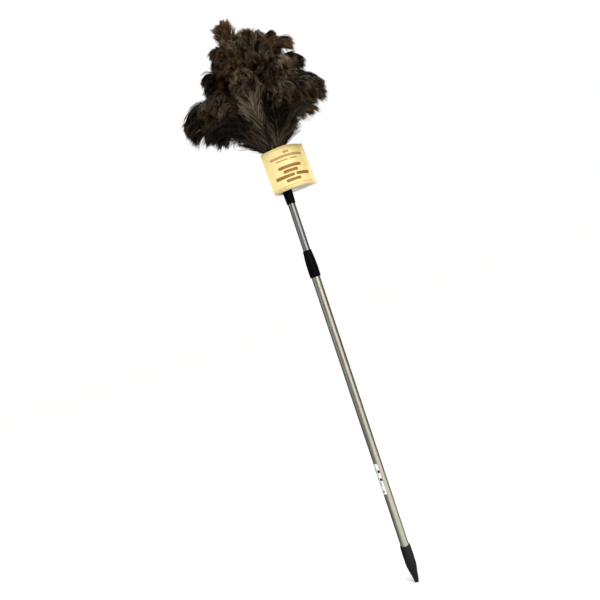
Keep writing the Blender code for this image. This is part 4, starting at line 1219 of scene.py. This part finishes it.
@dataclass
class CardTag:
    """The card folded round the neck and stapled at its right edge."""

    thickness: float = 0.0005
    left: float = 0.033  # from the pole's axis to the fold
    right: float = 0.073  # from the pole's axis to the stapled edge
    turn: float = 18.0  # degrees round the pole
    tilt: float = 2.4  # degrees in its own plane
    seam: float = 0.006  # width of the stapled strip
    back_drop: float = 0.002  # how much lower the back leaf hangs at its right end
    bow: float = 0.0312  # lets the card pass the tape round the neck
    across: int = 64
    up: int = 9
    off_print: float = -2.0  # place on the surface map of what carries no bars

    def material(self) -> bpy.types.Material:
        """Makes the outside of the card.

        Pale yellow coated card is matt with a faint mottle. Brown bars and one salmon line stand
        where tags carry print.

        Returns:
            The material.
        """
        brown, soft = "#96682A", "#C09A62"
        bars = (
            Bar(0.40, 0.53, 0.115, 0.170, soft),
            Bar(0.12, 0.87, 0.205, 0.262, soft),
            Bar(0.21, 0.46, 0.305, 0.335, soft),
            Bar(0.50, 0.69, 0.305, 0.335, soft),
            Bar(0.21, 0.73, 0.450, 0.522, brown),
            Bar(0.28, 0.61, 0.555, 0.627, brown),
            Bar(0.11, 0.49, 0.662, 0.738, brown),
            Bar(0.53, 0.90, 0.662, 0.738, brown),
            Bar(0.28, 0.61, 0.772, 0.844, brown),
            Bar(0.08, 0.955, 0.905, 0.920, "#F2A27C"),
        )
        return PrintedPaper("coated_yellow_card", "#FFE8A1", 0.62, bars=bars).make()

    def rise(self, x: Array) -> Array:
        """Gives the leaf's share of its bow: half a wave from the fold to the seam."""
        start = self.right - self.seam
        return np.sin(np.pi * np.clip((x + self.left) / (start + self.left), 0.0, 1.0))

    def build(self) -> None:
        """Builds the card: the path of both leaves, seen from above, carried up its height."""
        start = self.right - self.seam
        half_gap = (CLEARANCE + self.thickness) / 2
        share = (1 - np.cos(np.pi * np.arange(self.across) / self.across)) / 2
        bend = start - (self.left + start) * share
        x = np.concatenate(([self.right], bend, [-self.left], bend[::-1], [self.right]))
        bow = np.maximum(half_gap, self.bow * self.rise(bend))
        y = np.concatenate(([-half_gap], -bow, [0.0], bow[::-1], [half_gap]))
        behind = np.arange(len(x)) > len(x) // 2
        drop = np.where(behind, self.back_drop * (x + self.left) / (self.right + self.left), 0.0)
        level = np.linspace(0.0, 1.0, self.up)
        z = TAG_FOOT_Z - drop[:, None] + (TAG_TOP_Z - TAG_FOOT_Z) * level
        grid = np.empty(z.shape + (3,))
        grid[..., 0], grid[..., 1], grid[..., 2] = x[:, None], y[:, None], z
        printed = (x + self.left) / (self.right + self.left)
        uv = np.empty(z.shape + (2,))
        uv[..., 0] = np.where(behind, self.off_print, printed)[:, None]
        uv[..., 1] = level
        mesh = grid_mesh("tag_card_folded", grid[None], uv[None])
        centre = Vector(((self.right - self.left) / 2, 0.0, (TAG_FOOT_Z + TAG_TOP_Z) / 2))
        tip = Matrix.Rotation(math.radians(-self.tilt), 4, "Y")
        turn = Matrix.Rotation(math.radians(self.turn), 4, "Z")
        mesh.transform(turn @ Matrix.Translation(centre) @ tip @ Matrix.Translation(-centre))
        card = add_piece("tag_card_folded", mesh, "head", "tag_card", "tag_card")
        mesh.materials.append(self.material())
        # The inside is uncoated board, whiter and duller than the outside
        mesh.materials.append(PrintedPaper("bare_white_card_inside", "#FBFAF4", 0.75).make())
        wall = card.modifiers.new("card", "SOLIDIFY")
        wall.thickness = self.thickness
        wall.offset = 0.0
        wall.material_offset = 1
        # Zinc plating is a bright, slightly blue grey
        dress("tag_staple", Finish("zinc_plated_wire", "#C3C4C6", 0.32, 1.0).start()[0])


@dataclass
class Neck:
    """What holds the quills: the stick, the thread bindings, and the tape over them."""

    tape_width: float = 0.014
    tape_thickness: float = 0.00022
    wall: float = 0.0008
    tuck: float = 0.0011  # how far the tape's ends go in
    edge_start: float = 0.90  # share of a turn where it steps back to the next edge
    around: int = 72
    up: int = 90

    def build(self) -> None:
        """Winds the tape and dresses the stick and the bindings."""
        # Waxed linen is brown; the lighter tops of its turns are a painted highlight, the grooves
        # painted shade
        thread = Woven("waxed_linen_thread", "#5A4128", 0.75, thread=0.0006, pale="#86673F").make()
        for node in ("inner_binding", "middle_binding", "outer_binding"):
            dress(node, thread)
        # Bare beech is a warm light brown with darker flecks
        dress("core_stick", TurnedWood("turned_beech", "#C79A66", 0.55).make())
        self.wind_tape()

    def wind_tape(self) -> None:
        """Builds the wound tape.

        With f as the share of a turn, the part of z / w - a / 2 pi past its whole number, where
        w is the tape's width and a the angle, the radius is R - t (2 - f - e). It grows with f,
        and e falls from 1 to 0 near the turn's end, where it steps back to the next edge. The
        tape's ends go in under it.
        """
        height = np.linspace(QUILL_FOOT_Z, NECK_WRAP_TOP_Z, self.up)[:, None]
        angle = np.linspace(0.0, 2 * np.pi, self.around, endpoint=False)[None, :]
        turn = (height - QUILL_FOOT_Z) / self.tape_width - angle / (2 * np.pi)
        part = turn - np.floor(turn)
        step = 1 - smooth_rise(part, self.edge_start, 1.0)
        radius = NECK_WRAP_RADIUS - self.tape_thickness * (2 - step - part)
        radius[0, :] = radius[-1, :] = NECK_WRAP_RADIUS - self.tuck
        level = np.broadcast_to(height, radius.shape)
        points = np.stack([radius * np.cos(angle), radius * np.sin(angle), level], axis=-1)
        uv = np.stack([np.broadcast_to(angle, radius.shape), level], axis=-1)
        mesh = grid_mesh("neck_tape_wound", points[None], uv[None], wrap=True)
        tape = add_piece("neck_tape_wound", mesh, "head", "neck_tape", "neck_wrap")
        # Cotton tape is black and quite matt, with a fine weave that gets a painted highlight on
        # its tops
        mesh.materials.append(Woven("black_cloth_tape", "#16150F", 0.82, thread=0.0004).make())
        wall = tape.modifiers.new("tape", "SOLIDIFY")
        wall.thickness = self.wall
        wall.offset = -1.0


@dataclass
class Pole:
    """The tubes, the end cap, the twist lock and the socket."""

    label_foot: float = CAP_RIM_Z + 0.127
    label_length: float = 0.073
    label_width: float = 0.030
    label_corner: float = 0.0025
    label_middle: float = 176.0  # degrees from +X towards +Y that its middle faces
    label_wall: float = 0.0002
    label_sunk: float = 0.0001  # keeps its face from lying exactly in the solid's
    label_grid: tuple[int, int] = (60, 33)

    def build(self) -> None:
        """Dresses the CAD's pieces of the pole and lays the label on it."""
        # Champagne anodising is a warm grey with a soft broad highlight
        outer = DrawnAluminium("champagne_anodised_aluminium", "#B9B5A4", 0.34, 1.0)
        # Clear anodising is cooler and darker, and a little sharper
        inner = DrawnAluminium("clear_anodised_aluminium", "#9A9C94", 0.30, 1.0, edge="#282B2A")
        # Polypropylene is a deep black with hardly a gloss
        black = MouldedPlastic("black_moulded_polypropylene", "#050505", 0.38, shine=0.04)
        # The cap is of the same plastic, but floors have rubbed it glossier and greyer
        worn = MouldedPlastic("worn_black_polypropylene", "#0A0A09", 0.40, shine=0.28)
        # Acetal is the off-white, slippery plastic of the lock's inner parts
        white = MouldedPlastic(
            "white_acetal", "#DCDCD6", 0.38, worn_colour="#CFCFC8", shine=0.5
        )
        finishes = {
            outer: ("outer_tube",),
            inner: ("inner_tube",),
            black: ("twist_collar", "head_socket", "screw_tip"),
            worn: ("end_cap",),
            white: ("collet_body", "clamp_ring", "guide_ring", "foot_plug"),
        }
        for finish, nodes in finishes.items():
            material = finish.make()
            for node in nodes:
                dress(node, material)
        self.lay_label()

    def lay_label(self) -> None:
        """Builds the label as a sheet with round corners on the tube.

        A point of the unit square is drawn in near the short edges: the half width there is
        w - r + the root of r^2 - d^2, where d is how far it is past the corner's centre.
        """
        radius = OUTER_TUBE_RADIUS + 2 * CLEARANCE - self.label_sunk
        rows, columns = self.label_grid
        along = np.linspace(0.0, 1.0, rows)[:, None]
        across = np.linspace(-1.0, 1.0, columns)[None, :]
        z = along * self.label_length
        corner = self.label_corner
        inset = np.clip(corner - np.minimum(z, self.label_length - z), 0.0, corner)
        half = self.label_width / 2 - corner + np.sqrt(corner**2 - inset**2)
        angle = math.radians(self.label_middle) + across * half / radius
        level = np.broadcast_to(self.label_foot + z, angle.shape)
        points = np.stack([radius * np.cos(angle), radius * np.sin(angle), level], axis=-1)
        printed = 0.5 + across * half / self.label_width
        uv = np.stack([printed, np.broadcast_to(along, angle.shape)], axis=-1)
        mesh = grid_mesh("tube_label_paper", points[None], uv[None])
        label = add_piece("tube_label_paper", mesh, "pole", "label_paper", "tube_label")
        dark, grey = "#060606", "#85888A"
        bars = (
            Bar(0.82, 1.00, 0.205, 0.295, dark),
            Bar(0.58, 0.72, 0.15, 0.25, grey),
            Bar(0.82, 1.00, 0.465, 0.555, dark),
            Bar(0.58, 0.72, 0.42, 0.53, grey),
            Bar(0.10, 0.90, 0.62, 0.64, grey),
            Bar(0.10, 0.90, 0.68, 0.70, grey),
            Bar(0.72, 0.90, 0.88, 0.93, "#3A3A3A"),
            Bar(0.10, 0.42, 0.23, 0.54, dark),
        )
        # Gloss label stock is white and smoother than the card
        mesh.materials.append(PrintedPaper("white_gloss_label", "#EDEEEC", 0.38, bars=bars).make())
        wall = label.modifiers.new("paper", "SOLIDIFY")
        wall.thickness = self.label_wall
        wall.offset = -1.0


@dataclass(frozen=True)
class Softbox:
    """An upright softbox that faces the pole."""

    name: str
    azimuth: float  # degrees to the right of the front
    distance: float  # from the pole's axis
    height: float  # of its middle above the origin
    size: tuple[float, float]  # width and height
    power: float  # watts
    colour: str

    def hang(self) -> None:
        """Makes the light, and turns it to the pole."""
        light = bpy.data.lights.new(self.name, "AREA")
        light.shape = "RECTANGLE"
        light.size, light.size_y = self.size
        light.energy = self.power
        light.color = linear(self.colour)[:3]
        thing = bpy.data.objects.new(self.name, light)
        turn = math.radians(self.azimuth)
        across, back = self.distance * math.sin(turn), -self.distance * math.cos(turn)
        thing.location = (across, back, self.height)
        thing.rotation_euler = (math.pi / 2, 0.0, turn)
        bpy.context.scene.collection.objects.link(thing)


SOFTBOXES = (
    Softbox("key_softbox", 29.0, 2.3, 0.75, (2.1, 2.2), 26.5, "#FFFAF0"),
    Softbox("fill_softbox", -68.0, 2.2, 0.8, (1.0, 2.0), 7.0, "#CEDDF2"),
    Softbox("back_softbox", 180.0, 1.7, 2.1, (1.8, 0.9), 30.0, "#FFFCF6"),
)


@dataclass
class Studio:
    """A pale floor, soft lights and the camera at the photograph's angle."""

    floor_z: float = CAP_TIP_Z - 0.0005  # just under the cap's tip
    floor_reach: float = 30.0
    floor_colour: str = "#F4F4F2"
    # Painted shade: the floor's colour for reflected and bounced rays outside the painted pool of
    # light
    painted_floor_shade: str = "#54565A"  # what the floor's reflected light has away from the pool
    # Painted pool of light: there reflected and bounced rays see the floor white, standing in for
    # the key light's pool on it
    pool: tuple[float, float] = (0.50, -0.85)  # middle of what lights the object from below
    painted_pool_radius: float = 1.20
    sun_power: float = 3.9
    sun_width: float = 60.0  # degrees
    sun_tip: tuple[float, float] = (36.0, 10.0)  # degrees about X and about Y
    world_light: float = 0.22  # strength of the surround's light on the object
    target: tuple[float, float, float] = (-0.051, 0.0, 0.549)  # at the picture's middle
    distance: float = 1.5333  # from the camera to the target
    lean: float = 18.39  # degrees that the pole leans in the picture
    focal_length: float = 40.0  # millimetres
    sensor_width: float = 36.0

    def build(self) -> None:
        """Makes the floor, the lights, the world and the camera."""
        self.lay_floor()
        for softbox in SOFTBOXES:
            softbox.hang()
        self.hang_sun()
        self.set_world()
        self.set_camera()

    def lay_floor(self) -> None:
        """Lays a wide flat floor under the cap's tip."""
        side = np.linspace(-self.floor_reach, self.floor_reach, 2)
        x, y = np.meshgrid(side, side, indexing="ij")
        points = np.stack([x, y, np.full(x.shape, self.floor_z)], axis=-1)
        mesh = grid_mesh("studio_floor", points[None], np.stack([x, y], axis=-1)[None])
        mesh.materials.append(self.floor_paint())
        floor = bpy.data.objects.new("studio_floor", mesh)
        bpy.context.scene.collection.objects.link(floor)

    def floor_paint(self) -> bpy.types.Material:
        """Makes matt white paint, white to the camera, that lights the object only from a painted
        pool of light before the key light.

        Returns:
            The material.
        """
        material, tree, shader = Finish("matt_white_paint", self.floor_colour, 0.9).start()
        path = add_node(tree, "ShaderNodeLightPath", {})
        place = add_node(tree, "ShaderNodeTexCoord", {}).outputs["Object"]
        away = add_node(
            tree,
            "ShaderNodeVectorMath",
            {0: place, 1: (*self.pool, self.floor_z)},
            operation="DISTANCE",
        )
        pool = add_node(
            tree,
            "ShaderNodeMapRange",
            {
                "Value": away.outputs["Value"],
                "From Min": self.painted_pool_radius,
                "From Max": self.painted_pool_radius / 2,
            },
            interpolation_type="SMOOTHSTEP",
        )
        seen = add_node(
            tree,
            "ShaderNodeMath",
            {0: path.outputs["Is Camera Ray"], 1: pool.outputs[0]},
            operation="MAXIMUM",
        )
        # White to the camera and in the painted pool of light; painted shade elsewhere for the
        # light it sends onto the object
        colour = add_node(
            tree,
            "ShaderNodeMix",
            {"Factor": seen.outputs[0], 6: linear(self.painted_floor_shade), 7: linear(self.floor_colour)},
            data_type="RGBA",
        )
        tree.links.new(colour.outputs[2], shader.inputs["Base Color"])
        return material

    def hang_sun(self) -> None:
        """Hangs a wide soft sun high up, which lights the floor evenly out to the horizon."""
        light = bpy.data.lights.new("ceiling_light", "SUN")
        light.energy = self.sun_power
        light.angle = math.radians(self.sun_width)
        thing = bpy.data.objects.new("ceiling_light", light)
        thing.rotation_euler = (*(math.radians(tip) for tip in self.sun_tip), 0.0)
        bpy.context.scene.collection.objects.link(thing)

    def set_world(self) -> None:
        """Sets an even surround, white behind the object and a soft grey for its light."""
        world = bpy.data.worlds.new("studio_surround")
        world.use_nodes = True
        tree = world.node_tree
        tree.nodes.clear()
        path = add_node(tree, "ShaderNodeLightPath", {})
        light = add_node(
            tree,
            "ShaderNodeBackground",
            {"Color": linear("#F0F0EE"), "Strength": self.world_light},
        )
        seen = add_node(
            tree, "ShaderNodeBackground", {"Color": (1.0, 1.0, 1.0, 1.0), "Strength": 1.0}
        )
        both = add_node(
            tree,
            "ShaderNodeMixShader",
            {0: path.outputs["Is Camera Ray"], 1: light.outputs[0], 2: seen.outputs[0]},
        )
        add_node(tree, "ShaderNodeOutputWorld", {"Surface": both.outputs[0]})
        bpy.context.scene.world = world
        bpy.context.scene.view_settings.view_transform = "Standard"

    def set_camera(self) -> None:
        """Places the camera level with the target in front, rolled so that the pole leans left."""
        lens = bpy.data.cameras.new("camera")
        lens.lens = self.focal_length
        lens.sensor_width = self.sensor_width
        camera = bpy.data.objects.new("camera", lens)
        lean = math.radians(self.lean)
        across = Vector((math.cos(lean), 0.0, -math.sin(lean)))
        up = Vector((math.sin(lean), 0.0, math.cos(lean)))
        back = Vector((0.0, -1.0, 0.0))
        turned = Matrix((across, up, back)).transposed().to_4x4()
        place = Vector(self.target) + back * self.distance
        camera.matrix_world = Matrix.Translation(place) @ turned
        bpy.context.scene.collection.objects.link(camera)
        bpy.context.scene.camera = camera


def main() -> None:
    """Builds the studio and every sub-assembly in order."""
    logging.basicConfig(level=logging.INFO, format="%(message)s")
    Studio().build()
    Pole().build()
    Neck().build()
    CardTag().build()
    FeatherHead().build()


if __name__ == "__main__":
    main()
